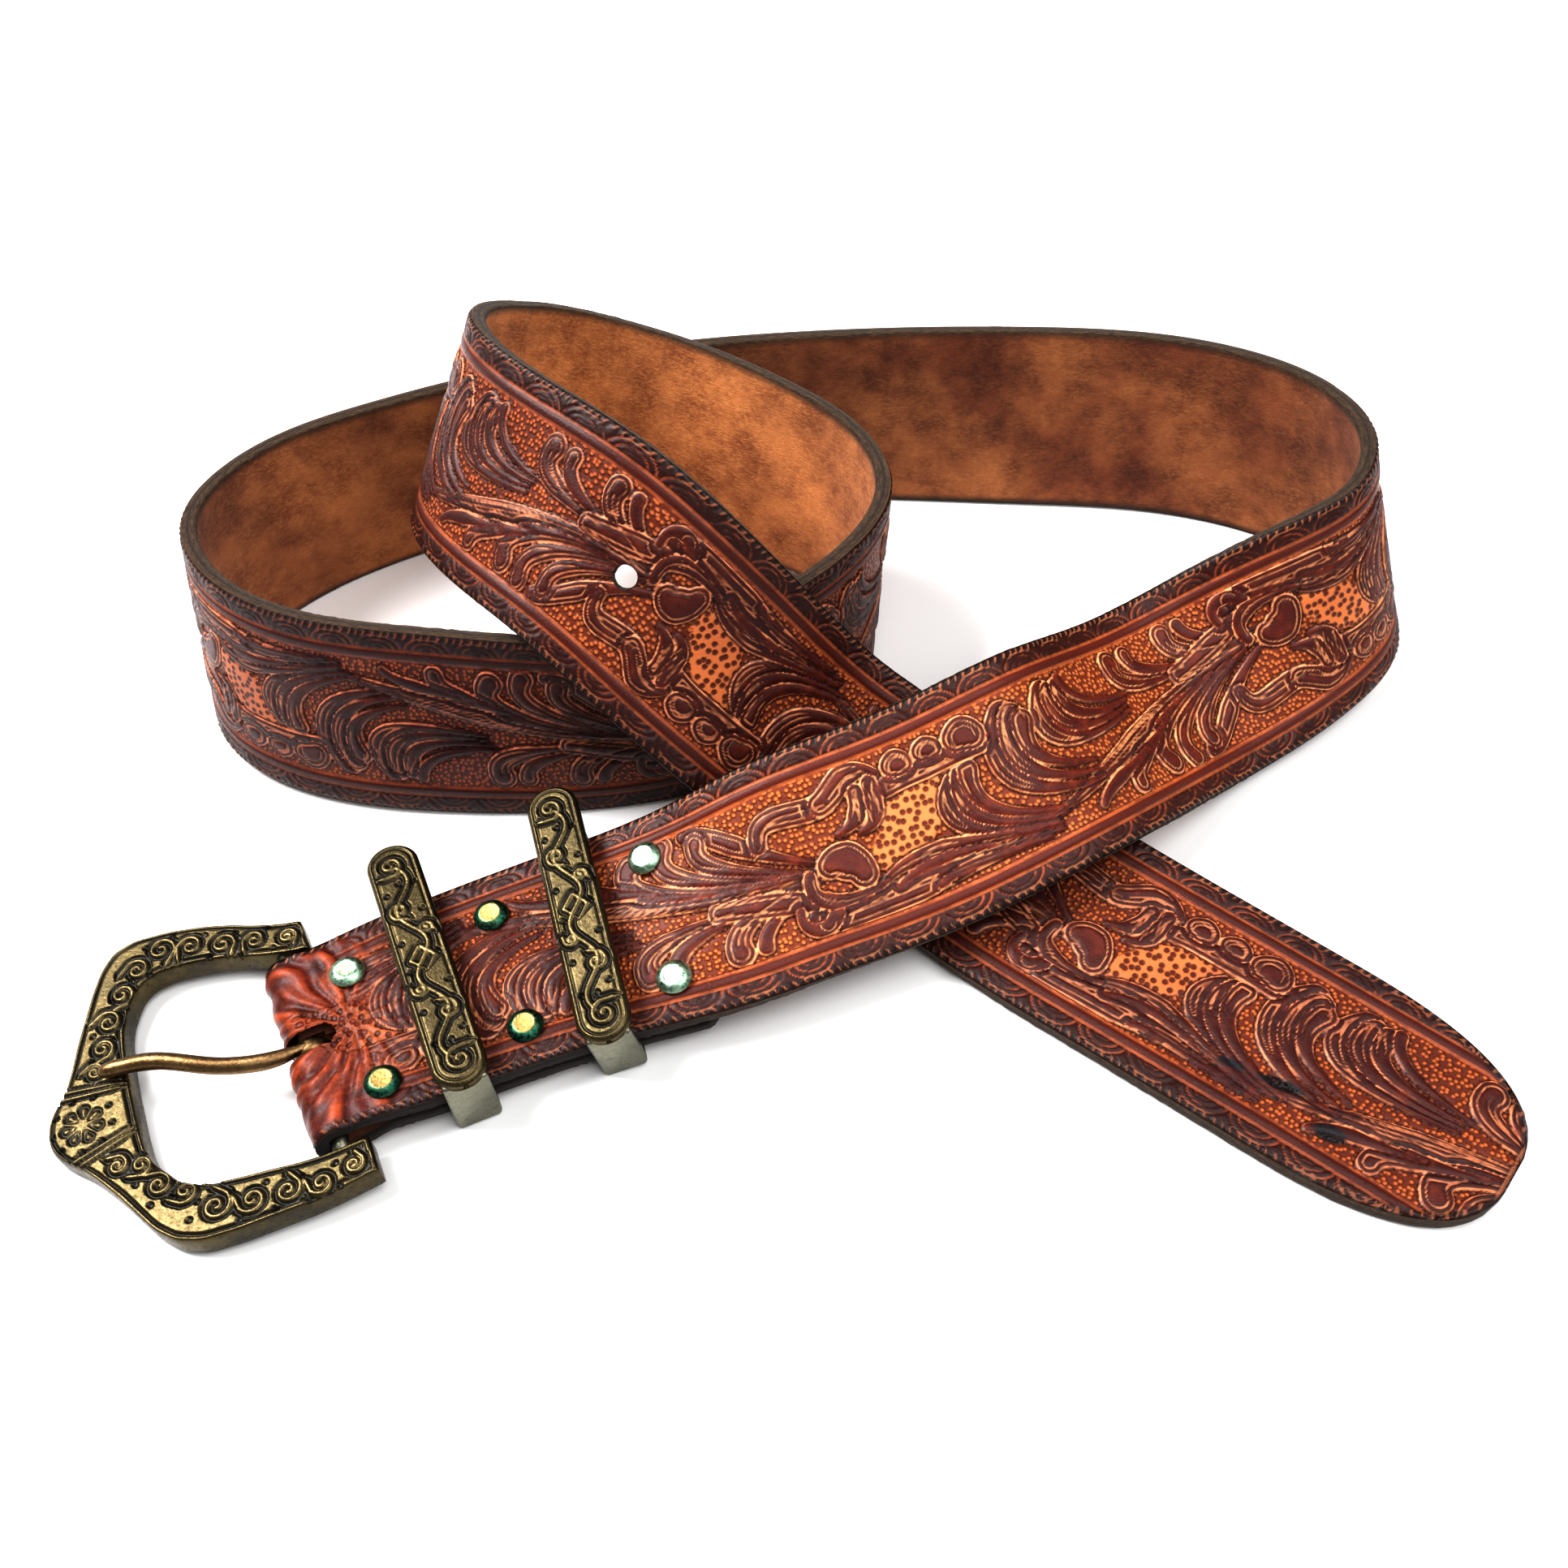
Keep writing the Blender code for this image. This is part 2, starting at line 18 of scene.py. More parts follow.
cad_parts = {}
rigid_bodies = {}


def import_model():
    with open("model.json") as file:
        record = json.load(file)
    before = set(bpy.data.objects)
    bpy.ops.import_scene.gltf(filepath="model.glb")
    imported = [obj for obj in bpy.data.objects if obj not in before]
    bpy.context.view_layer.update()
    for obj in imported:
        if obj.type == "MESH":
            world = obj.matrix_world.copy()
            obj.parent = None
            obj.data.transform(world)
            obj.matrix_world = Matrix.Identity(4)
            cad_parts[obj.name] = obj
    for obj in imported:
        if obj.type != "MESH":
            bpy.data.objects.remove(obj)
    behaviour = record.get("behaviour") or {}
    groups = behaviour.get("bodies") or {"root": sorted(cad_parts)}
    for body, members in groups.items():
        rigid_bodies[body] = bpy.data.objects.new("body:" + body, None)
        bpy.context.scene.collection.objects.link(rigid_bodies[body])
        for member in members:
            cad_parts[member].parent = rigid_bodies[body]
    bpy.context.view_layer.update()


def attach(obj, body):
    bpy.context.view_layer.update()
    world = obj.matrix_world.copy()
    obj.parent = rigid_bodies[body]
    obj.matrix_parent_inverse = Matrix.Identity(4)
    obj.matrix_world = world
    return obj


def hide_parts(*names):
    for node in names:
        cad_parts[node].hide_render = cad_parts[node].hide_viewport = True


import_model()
MM = 0.001
rng = np.random.default_rng(7)

# %% [markdown]
# ## The strap's route
# A strap lies in a smooth curve, and it twists as it goes from flat to standing on edge. A short
# table of places, joined by a cubic spline, keeps it smooth. It is the CAD part's own table, so
# the leather seen here fits the solid that the physics uses.

# %% The route
STRAP_THICK = 3.8
SKIVED_THICK = 3.0
FOLD_WIDTH, BUCKLE_END_WIDTH, FULL_WIDTH = 41.0, 43.5, 44.5
STRAP_LENGTH, TAPER_LENGTH = 1168.0, 42.0
BAR_AT, BAR_RADIUS, GAP = 5.0, 1.7, 0.3
FOLD_RADIUS = BAR_RADIUS + GAP + SKIVED_THICK / 2
FOLD_START = BAR_AT - math.pi * FOLD_RADIUS
TURN_BACK_END = 82.0
CENTRE_X, CENTRE_Y = 1.0, 215.53

Row = namedtuple("Row", "x y lift lean")
ROUTE = (
    Row(-97, 156.8, 7, 0), Row(-76.2, 164.7, 5.9, 1), Row(-55.9, 171.6, 5.5, 3),
    Row(-34.7, 176.6, 6.1, 7), Row(-14.5, 179.6, 7.3, 16), Row(0.7, 183, 7.9, 25),
    Row(14.4, 186.4, 8.2, 30), Row(28.5, 190.5, 9.8, 31), Row(50.2, 198.8, 12.6, 32),
    Row(69.7, 213, 6.8, 28), Row(90.5, 227.3, 0.4, 33), Row(113.9, 235.9, 1.1, 55),
    Row(129.4, 246, 2.6, 66), Row(134.6, 264.1, 1.8, 78), Row(128, 282, 0.4, 90),
    Row(102.6, 301.3, 0.2, 99), Row(65, 311.4, 0.1, 102), Row(13.4, 318.2, 0.1, 96),
    Row(-38.5, 318.4, 0.1, 90), Row(-88.9, 305.6, 0.1, 90), Row(-111.6, 293.1, 0.1, 91),
    Row(-125.2, 271, 0.5, 85), Row(-117.8, 246.8, 1.2, 76), Row(-95.8, 231.8, 0.8, 75),
    Row(-70.4, 225.2, 0.4, 77), Row(-44.9, 221.3, 0.1, 82), Row(-19.1, 222.4, 0.1, 86),
    Row(3.9, 232, 0.1, 87), Row(17.8, 245.6, 0.1, 90), Row(23.8, 263.8, 0.1, 97),
    Row(17.9, 281.4, 1, 101), Row(2.6, 293.7, 4.4, 105), Row(-20.6, 303.3, 11, 110),
    Row(-44.4, 303.9, 19.9, 104), Row(-61.9, 290.2, 32.6, 77), Row(-61.9, 266.9, 43.6, 56),
    Row(-47.6, 245.5, 46.9, 46), Row(-29.6, 228.5, 43, 42), Row(-10.8, 218.3, 23.6, 43),
    Row(8.2, 212.6, 3.8, 34), Row(27.4, 199.8, 0.6, 19), Row(46.2, 182.2, 0.2, 10),
    Row(65.6, 164.7, 0.1, 6), Row(89.6, 143.3, 0.1, 3), Row(121.3, 114.2, 0.1, 0),
)


def smooth_step(x, a, b):
    k = np.clip((np.asarray(x, float) - a) / (b - a), 0, 1)
    return k * k * (3 - 2 * k)


def spline(knots, values, at):
    """Natural cubic spline through the values at the knots."""
    n = len(knots)
    h = np.diff(knots)
    system = np.eye(n)
    right = np.zeros(n)
    for i in range(1, n - 1):
        system[i, i - 1:i + 2] = h[i - 1], 2 * (h[i - 1] + h[i]), h[i]
        right[i] = 6 * ((values[i + 1] - values[i]) / h[i] - (values[i] - values[i - 1]) / h[i - 1])
    bend = np.linalg.solve(system, right)
    i = np.clip(np.searchsorted(knots, at) - 1, 0, n - 2)
    a = (knots[i + 1] - at) / h[i]
    b = (at - knots[i]) / h[i]
    cubic = ((a ** 3 - a) * bend[i] + (b ** 3 - b) * bend[i + 1]) * h[i] ** 2 / 6
    return a * values[i] + b * values[i + 1] + cubic


def grown_width(s):
    return BUCKLE_END_WIDTH + (FULL_WIDTH - BUCKLE_END_WIDTH) * smooth_step(s, 10.0, 100.0)


def half_width(s):
    """Half the strap's width at a distance s from the fold, with the rounded tip."""
    s = np.asarray(s, float)
    full = grown_width(s) / 2
    full = full - (BUCKLE_END_WIDTH - FOLD_WIDTH) / 2 * (1 - smooth_step(s, 8.0, 26.0))
    left = np.maximum(STRAP_LENGTH - s, 0)
    k = 1 - np.clip(left / TAPER_LENGTH, 0, 1)
    return np.maximum(3.0, full * np.maximum(1 - k ** 2.7, 0) ** (1 / 2.6))


def thickness(s):
    return SKIVED_THICK + (STRAP_THICK - SKIVED_THICK) * smooth_step(s, 6.0, 24.0)


def unit(v):
    return v / np.linalg.norm(v, axis=-1, keepdims=True)


def lay_route():
    """The strap's middle line as (run, line, lean, slope)."""
    plan = np.array([(r.x - CENTRE_X, r.y - CENTRE_Y) for r in ROUTE])
    chord = np.concatenate([[0], np.cumsum(np.hypot(*np.diff(plan, axis=0).T))])
    fine = np.linspace(0, chord[-1], 6000)
    x, y, lift, lean = (spline(chord, np.array(column, float), fine) for column in
                        (plan[:, 0], plan[:, 1], [r.lift for r in ROUTE], [r.lean for r in ROUTE]))
    turn = np.radians(lean)
    z = lift.copy()
    for _ in range(3):
        line = np.stack([x, y, z], 1)
        run = np.concatenate([[0], np.cumsum(np.linalg.norm(np.diff(line, axis=0), axis=1))])
        z = lift + grown_width(run) / 2 * abs(np.sin(turn)) + STRAP_THICK / 2 * abs(np.cos(turn))
    line = np.stack([x, y, z], 1)
    return run, line, turn, np.gradient(line, run, axis=0)


RUN, LINE, LEAN, SLOPE = lay_route()


def strap_at(s):
    """Middle points, directions along, across to the upper edge, and out of the tooled face."""
    s = np.atleast_1d(np.asarray(s, float))
    mid = np.stack([np.interp(s, RUN, LINE[:, k]) for k in range(3)], 1)
    along = unit(np.stack([np.interp(s, RUN, SLOPE[:, k]) for k in range(3)], 1))
    turn = np.interp(s, RUN, LEAN)[:, None]
    left = unit(np.cross([0.0, 0.0, 1.0], along))
    across = left * np.cos(turn) + np.cross(along, left) * np.sin(turn)
    return mid, along, across, np.cross(along, across)


def under_layer_gap(s):
    flat = (thickness(s) + SKIVED_THICK) / 2 + GAP
    curled = 1.0 * smooth_step(s, 66.0, TURN_BACK_END)
    return 2 * FOLD_RADIUS + (flat - 2 * FOLD_RADIUS) * smooth_step(s, BAR_AT, 17.0) + curled


def leather_at(u):
    """The same for u that may run below the fold: the turn-back lies upside down underneath."""
    u = np.atleast_1d(np.asarray(u, float))
    s = np.where(u >= BAR_AT, u, np.where(u < FOLD_START, BAR_AT + FOLD_START - u, BAR_AT))
    mid, along, across, face = strap_at(s)
    half, thick = half_width(s), thickness(s)
    under = u < FOLD_START
    folding = (u < BAR_AT) & ~under
    mid = np.where(under[:, None], mid - face * under_layer_gap(s)[:, None], mid)
    face = np.where(under[:, None], -face, face)
    angle = math.pi * (BAR_AT - u) / (BAR_AT - FOLD_START)
    out = face * np.cos(angle)[:, None] - along * np.sin(angle)[:, None]
    mid = np.where(folding[:, None], mid - face * FOLD_RADIUS + out * FOLD_RADIUS, mid)
    face = np.where(folding[:, None], out, face)
    half = half - 3.0 * (1 - smooth_step(TURN_BACK_END - s, 0.0, 4.0)) * under
    thick = np.where(u < BAR_AT, SKIVED_THICK, thick)
    return mid, across, face, half, thick


print("route", round(float(RUN[-1]), 1), "mm")

# %% [markdown]
# ## The tooled flowers
# On the real belt an engraved roller pressed the same flowers into damp leather all along the
# strap, each one turned over against the last. A roller's pattern is a drawing that repeats, so
# here it is a short table of brush strokes: a curve through four points, and how wide it is at
# its start, middle and end. Later strokes lie over earlier ones, as petals do. Every point of
# the grid then knows how far it is from the nearest cut line, and the relief and the colours
# both come from that distance.

# %% The strokes of one flower
Stroke = namedtuple("Stroke", "x0 y0 x1 y1 x2 y2 x3 y3 start middle end", defaults=(0, 0, 0))
REPEAT = 115.4
PETALS = (
    # main stem and the leaves under it
    Stroke(20, -12, 42, -9, 62, 0.5, 95, 3, 0.6, 2.3, 1.2),
    Stroke(73, -14, 80, -13, 84, -4, 97, 1.5, 1.9, 2.3, 0.4),
    Stroke(75, -11.5, 73, -7, 80, -3, 93, 2, 2.6, 2, 0.4),
    Stroke(67.5, -13.5, 64, -7.5, 72, -4, 88, 1.2, 2.8, 2.1, 0.4),
    Stroke(60.5, -12, 56, -6.5, 66, -2.5, 83, 0.6, 3, 2.3, 0.4),
    Stroke(48.5, -13, 48.5, -8.5, 56, -8, 66, -3.8, 2.3, 2.2, 0.4),
    Stroke(37, -13.2, 40, -10, 47, -9.8, 56, -7, 1.1, 1.6, 0.4),
    # leaves over the stem
    Stroke(77, 12.6, 76, 7.5, 83, 5, 95, 4, 2.7, 1.9, 0.3),
    Stroke(81.5, 13, 82, 9.5, 87, 6.5, 97, 4.6, 1.7, 1.3, 0.3),
    Stroke(60, 12, 57.5, 6, 67, 4.8, 82, 4, 3.1, 2.1, 0.3),
    Stroke(65.5, 12.4, 65, 8, 71, 6, 84, 4.6, 2.2, 1.5, 0.3),
    # third group of leaves
    Stroke(36.5, 11.2, 29, 4, 36, -1.8, 58, 1.6, 3.5, 2.5, 0.4),
    Stroke(38, 11, 34, 4.2, 41, 0.4, 58, 2.8, 2.9, 1.8, 0.3),
    Stroke(40.5, 11.6, 38.5, 5.5, 45, 2.6, 59, 4, 2.3, 1.5, 0.3),
    Stroke(42, 13.2, 42.5, 8.5, 48, 5.5, 60, 5, 1.5, 1.1, 0.3),
    # second group
    Stroke(26, 11, 17.5, 4, 21, -7.5, 40, -8.2, 3.2, 2.4, 0.4),
    Stroke(27.5, 10, 22, 3, 25, -5, 40, -6.4, 3, 1.9, 0.3),
    Stroke(29, 8.5, 26, 2, 29.5, -2.6, 41, -4.6, 2.6, 1.5, 0.3),
    # first group
    Stroke(11.5, 3.2, 4, -2, 10, -8.5, 27, -12, 2.6, 1.9, 0.4),
    Stroke(13.5, 4, 8.5, -2.5, 14, -8.5, 29, -11.4, 2.5, 1.6, 0.3),
    Stroke(15, 4.6, 12, -2.5, 17.5, -8, 31, -10.6, 2.3, 1.5, 0.3),
    # long leaves along the lower border
    Stroke(-23, -12.2, -12, -13.2, 4, -10.5, 27, -13.8, 2.9, 2.9, 0.3),
    Stroke(1, -13.6, 6, -11, 12, -13, 24, -14.2, 0.8, 1.2, 0.3),
    Stroke(-9.5, -9.6, -1, -4.2, 7, -8.2, 27, -12.8, 0.8, 2.2, 0.3),
    Stroke(-6, -10.6, 0, -8, 6, -8.6, 14, -11, 0.6, 1.3, 0.3),
    # stem from the left and the heart behind the seeds
    Stroke(-40, -3.6, -32, -5, -26, -7.2, -20, -8.6, 2.2, 2.6, 2),
    Stroke(-25.5, -9, -27.5, -14, -21, -15, -19, -11.6, 1, 1.6, 1.8),
    Stroke(-21.5, -3.4, -24, -9.5, -17, -11, -8, -9, 1.4, 1.9, 0.6),
    Stroke(-17, -2.6, -15, -1.5, -12, -3, -11.5, -6, 2.8, 4, 3),
    # S petal
    Stroke(-28.5, 5.8, -27.5, 13.5, -20, 7.6, -14, 9.4, 1.9, 2.5, 2.6),
    Stroke(-15, 9.2, -11, 10.6, -8, 15.8, -2.6, 11.4, 2.5, 2.9, 1.2),
    # cap over the seeds with its three curls
    Stroke(-3, 7.6, 3, 9.4, 12, 9.4, 19, 8.6, 2, 2.9, 2.6),
    Stroke(1.2, 11.4, 2, 11.6, 3, 11.6, 3.6, 11.2, 2.5, 3, 2.5),
    Stroke(8.2, 11.6, 9, 11.8, 10, 11.8, 10.6, 11.4, 2.3, 2.7, 2.3),
    Stroke(15.6, 11, 17, 11.6, 18, 11.4, 18.6, 10.4, 3, 3.7, 3.2),
    # ribbed sepal
    Stroke(-13.5, 2.6, -9, 3.4, -8, 5.5, -7.5, 9, 0.7, 2, 2),
    Stroke(-9, 1.6, -4.6, 2, -4.6, 6.5, -4.4, 10, 0.8, 2, 1.8),
)
VEINS = (
    Stroke(-27.2, 6.6, -26, 11.6, -20, 8.6, -14, 9),
    Stroke(-13, 9.6, -10, 11.6, -8, 13.8, -4.2, 12.2),
    Stroke(-8.6, 3.4, -9, 6, -8.4, 8, -7.2, 9.6),
    Stroke(-6.4, 2.6, -7, 5.6, -6.4, 8.2, -5.4, 10.4),
    Stroke(-4, 3.6, -5, 6, -4.6, 8.4, -3.6, 10),
    Stroke(0.6, 10.2, 0.2, 13.2, 4.6, 13.4, 4.4, 10.6),
    Stroke(7.8, 10.4, 7.4, 13.2, 11.6, 13.2, 11.2, 10.6),
    Stroke(15, 9.8, 14, 13.6, 20.2, 13.8, 19.4, 9.8),
    Stroke(24.6, 10, 25, 13.4, 30.4, 13, 29.6, 8.6),
    Stroke(34.8, 9.8, 35, 13.2, 39.8, 12.8, 38.8, 10.2),
    Stroke(-21, -4, -23, -9.4, -16.6, -11.2, -9, -9.4),
    Stroke(-15.2, -4.8, -18.4, -4.2, -18.6, -8.4, -14.6, -8.8),
    Stroke(-22.4, -11, -24.4, -14.6, -20.4, -15, -19.8, -13),
    Stroke(-18, -12.6, -8, -12.4, 2, -11.6, 16, -12.8),
    Stroke(-7, -8.4, -1, -5.8, 6, -8, 18, -10.8),
    Stroke(28, -10.8, 46, -7.4, 62, 0.2, 92, 3.2),
    Stroke(28, -9.4, 46, -6, 62, 1.8, 92, 3.8),
    Stroke(61, -10, 60, -6, 68, -3, 82, 0.8),
    Stroke(68, -11, 67, -7.6, 74, -3.8, 86, 0.8),
    Stroke(75.4, -10, 76, -6.6, 82, -3, 92, 1.4),
    Stroke(60, 11, 59, 6.8, 68, 5.2, 78, 4.4),
    Stroke(77, 11, 77.4, 7.4, 84, 5.6, 92, 4.4),
)
SEEDS = (
    Stroke(-5.5, -4.2, -2, -1.6, 2, 0.2, 6, 1.6, 3.6, 5.4, 3.6),
    Stroke(-4, 1, 0, 3, 5, 4.4, 11, 4.4, 2.6, 3.2, 1.6),
)
print("petals", len(PETALS), "veins", len(VEINS))

# %% [markdown]
# ## From strokes to distances
# Tooling follows the outline of each petal: a cut line, a soft swell inside it and beaten ground
# outside. All of that can be read from how far a point lies from the strokes. The distances are
# worked out once, on a flat sheet of the pattern, because the flowers repeat.

# %% Distance from every point of the pattern to its strokes
PATTERN_STEP = 0.3
PATTERN_HALF = 16.5
PATTERN_X = np.arange(0, 2 * REPEAT, PATTERN_STEP)
PATTERN_Y = np.arange(-PATTERN_HALF, PATTERN_HALF + PATTERN_STEP, PATTERN_STEP)


BEHIND_SEEDS = PETALS.index(next(p for p in PETALS if p.x0 == 11.5))


def curve(stroke, count):
    """Points along a stroke's curve and the width there."""
    t = np.linspace(0, 1, count)[:, None]
    p = np.array(stroke[:8]).reshape(4, 2)
    points = ((1 - t) ** 3 * p[0] + 3 * t * (1 - t) ** 2 * p[1] + 3 * t * t * (1 - t) * p[2]
              + t ** 3 * p[3])
    wide = np.interp(t[:, 0], [0, 0.5, 1], stroke[8:])
    return points, wide


def depth_in(points, wide, gx, gy):
    """How deep the grid's points lie inside a brush stroke, below zero outside it."""
    best = np.full(gx.shape, -99.0)
    brush = np.zeros(gx.shape)
    for (a, b), (wa, wb) in zip(zip(points, points[1:]), zip(wide, wide[1:])):
        d = b - a
        k = np.clip(((gx - a[0]) * d[0] + (gy - a[1]) * d[1]) / max(d @ d, 1e-9), 0, 1)
        away = np.hypot(gx - a[0] - k * d[0], gy - a[1] - k * d[1])
        here = wa + k * (wb - wa)
        brush = np.where(here - away > best, here, brush)
        best = np.maximum(best, here - away)
    return best, brush


def placed():
    """The flowers that reach into one double repeat: shift, and which way up."""
    return [(-2 * REPEAT, 1), (-REPEAT, -1), (0.0, 1), (REPEAT, -1), (2 * REPEAT, 1)]


def draw_pattern():
    shape = (len(PATTERN_Y), len(PATTERN_X))
    cut = np.full(shape, -9.0)
    vein = np.full(shape, 9.0)
    seed = np.full(shape, -9.0)
    cover = np.full(shape, 3.0)
    brush = np.zeros(shape)

    def window(points, reach, shift, way):
        x = points[:, 0] + shift
        lo = np.searchsorted(PATTERN_X, x.min() - reach)
        hi = np.searchsorted(PATTERN_X, x.max() + reach)
        if lo >= hi:
            return None
        gx, gy = np.meshgrid(PATTERN_X[lo:hi] - shift, PATTERN_Y * way)
        return slice(lo, hi), gx, gy

    def paint(stroke, shift, way):
        points, wide = curve(stroke, 17)
        part = window(points, 8.0, shift, way)
        if part is None:
            return
        columns, gx, gy = part
        d, width = depth_in(points, wide, gx, gy)
        seen = cut[:, columns]
        over = cover[:, columns]
        if stroke in SEEDS:
            inner = np.maximum(seed[:, columns], d)
            seed[:, columns] = inner
            cut[:, columns] = np.where(inner > 0, -inner, seen)
            cover[:, columns] = np.where(inner > 0, 3.0, np.minimum(over, np.maximum(-d, 0.0)))
            return
        cut[:, columns] = np.where(d > 0, d, np.where(seen > 0, seen, np.maximum(seen, d)))
        cover[:, columns] = np.where(d > 0, 3.0, np.minimum(over, np.maximum(-d, 0.0)))
        brush[:, columns] = np.where(d > 0, width, brush[:, columns])
        seed[:, columns] = np.where(d > 0, np.minimum(seed[:, columns], -d), seed[:, columns])

    for shift, way in placed():
        for stroke in PETALS[:BEHIND_SEEDS] + SEEDS + PETALS[BEHIND_SEEDS:]:
            paint(stroke, shift, way)
        for stroke in VEINS:
            points, wide = curve(stroke, 17)
            part = window(points, 9.0, shift, way)
            if part is not None:
                columns, gx, gy = part
                away = -depth_in(points, wide, gx, gy)[0]
                vein[:, columns] = np.minimum(vein[:, columns], away)
    return {"cut": cut, "vein": vein, "seed": seed, "cover": cover, "brush": brush}


PATTERN = draw_pattern()
print("pattern", PATTERN["cut"].shape, "figure share", round(float((PATTERN["cut"] > 0).mean()), 2))

# %% [markdown]
# ## Where the flowers fall
# The flowers are counted along the strap from the buckle, from where the photo shows them. Odd
# ones are the other way up. Between them the pattern stretches a little, which nobody notices.

# %% Pattern at a place on the strap
FLOWERS_AT = (-104, 11, 126, 240, 331, 422, 513, 604, 715, 800, 888, 985, 1099, 1214)


def pattern_at(u, v):
    """The pattern's distances at places on the strap, by straight interpolation."""
    x = np.mod(np.interp(u, FLOWERS_AT, np.arange(len(FLOWERS_AT))), 2) * REPEAT / PATTERN_STEP
    y = (v + PATTERN_HALF) / PATTERN_STEP
    x0 = np.floor(x).astype(int)
    y0 = np.clip(np.floor(y).astype(int), 0, len(PATTERN_Y) - 2)
    kx, ky = x - x0, np.clip(y - y0, 0, 1)
    x0 = x0 % len(PATTERN_X)
    x1 = (x0 + 1) % len(PATTERN_X)
    out = {}
    for name, f in PATTERN.items():
        low = f[y0, x0] * (1 - kx) + f[y0, x1] * kx
        high = f[y0 + 1, x0] * (1 - kx) + f[y0 + 1, x1] * kx
        out[name] = low * (1 - ky) + high * ky
    return out


BORDER_LINES = (4.3, 6.6)
FAN_REPEAT, FAN_FOOT, FAN_HIGH, FAN_HALF = 10.4, 4.1, 3.1, 4.9
TOOTH_REPEAT = 1.75


def groove(d, wide):
    return np.exp(-(d / wide) ** 2)


def fans(u, e):
    """The row of small fans along the border: arcs about a foot on the border line."""
    x = np.mod(u, FAN_REPEAT) - FAN_REPEAT / 2
    r = np.hypot(x / FAN_HALF, (FAN_FOOT - e) / FAN_HIGH)
    arcs = groove(r - 0.97, 0.085) + groove(r - 0.64, 0.09) + 0.8 * groove(r - 0.32, 0.09)
    return arcs * smooth_step(-e, -FAN_FOOT - 0.1, -FAN_FOOT + 0.1)


CONTOUR_AT = 1.2
# Heights of the tooling in mm: a petal's swell, and how deep each kind of mark is struck.
PETAL_SWELL, PETAL_SUNK, SEED_HIGH = 0.44, 0.12, 0.34
GROUND_SUNK, CUT_DEEP, VEIN_DEEP, UNDERCUT = 0.36, 0.24, 0.30, 0.34
LINE_DEEP, FAN_DEEP, TOOTH_DEEP, EDGE_ROUND = 0.45, 0.32, 0.26, 0.55


def relief(u, v, e, rim):
    """Height of the tooled face over the plain leather in mm, and the fields that colour it.

    e is the distance in from the border's own straight line, rim from the cut edge.
    """
    p = pattern_at(u, v)
    plain = smooth_step(u, 9.0, 20.0)
    inside_border = smooth_step(e, BORDER_LINES[1] + 0.1, BORDER_LINES[1] + 0.5) * plain
    figure = smooth_step(p["cut"], -0.12, 0.12)
    pillow = 1 - (1 - np.clip(p["cut"] / 1.5, 0, 1)) ** 2
    ground = -GROUND_SUNK - CUT_DEEP * groove(np.minimum(p["cut"], 0), 0.5)
    shown = np.minimum(p["cut"], p["cover"])
    contour = np.abs(shown - CONTOUR_AT) + 0.4 * (1 - smooth_step(p["brush"], 1.5, 2.1))
    vein = np.minimum(p["vein"] + 0.5 * (shown < 0.3), contour)
    lined = smooth_step(p["brush"], 0.75, 1.6)
    h = figure * (PETAL_SWELL * pillow - PETAL_SUNK) + (1 - figure) * ground
    h -= VEIN_DEEP * groove(vein, 0.3) * figure
    h -= UNDERCUT * groove(p["cover"], 0.42) * figure
    in_seed = smooth_step(p["seed"], -0.1, 0.2) * (1 - figure)
    h += in_seed * SEED_HIGH
    h = h * inside_border
    for line in BORDER_LINES:
        h -= LINE_DEEP * groove(e - line, 0.34) * plain
    arcs = fans(u, e) * plain
    h -= FAN_DEEP * arcs
    teeth = 0.5 + 0.5 * np.sin((u + 0.5 * rim) * 2 * math.pi / TOOTH_REPEAT + 0.8 * np.sin(u * 0.9))
    on_edge = smooth_step(-rim, -2.1, -1.1)
    h -= TOOTH_DEEP * (1 - teeth) * on_edge
    h -= EDGE_ROUND * (1 - np.clip(rim / 0.9, 0, 1)) ** 2
    return h, {"cut": np.where(inside_border > 0.5, p["cut"], -3.0), "vein": vein,
               "seed": in_seed, "edge": e, "rim": rim, "line": lined, "cover": p["cover"],
               "fan": np.maximum(arcs, 0.75 * teeth * on_edge)}


print("border", BORDER_LINES)

# %% [markdown]
# ## Colours along the strap
# The strap's colour changes along it. Where it bends over the table it is a warm orange, the
# front run of the coil is dark, and the fold at the buckle is reddened and creased. Short tables
# give the tone by distance along the strap, for the face and for the back.

# %% Tone tables
Tone = namedtuple("Tone", "at face back")
TONES = (
    Tone(-90, 0.00, 0.10), Tone(0, 0.48, 0.10), Tone(20, 0.40, 0.10), Tone(70, 0.62, 0.12),
    Tone(90, 0.90, 0.20), Tone(150, 1.00, 0.30), Tone(230, 0.80, 0.45), Tone(260, 0.62, 0.30),
    Tone(330, 0.40, 0.22), Tone(430, 0.40, 0.30), Tone(500, 0.35, 0.48), Tone(560, 0.30, 0.55),
    Tone(620, 0.16, 0.60), Tone(700, 0.10, 0.55), Tone(760, 0.30, 0.75), Tone(850, 0.40, 0.95),
    Tone(920, 0.38, 1.00), Tone(980, 0.50, 0.90), Tone(1060, 0.52, 0.50), Tone(1170, 0.40, 0.40),
)


def tone_at(u, column):
    return np.interp(u, [t.at for t in TONES], [getattr(t, column) for t in TONES])


# %% [markdown]
# ## Finishes
# Leather and brass are made from Blender's own noise, worked out from where a point is on the
# strap in millimetres, so that nothing slides when the belt bends. A small helper keeps the node
# graphs readable.


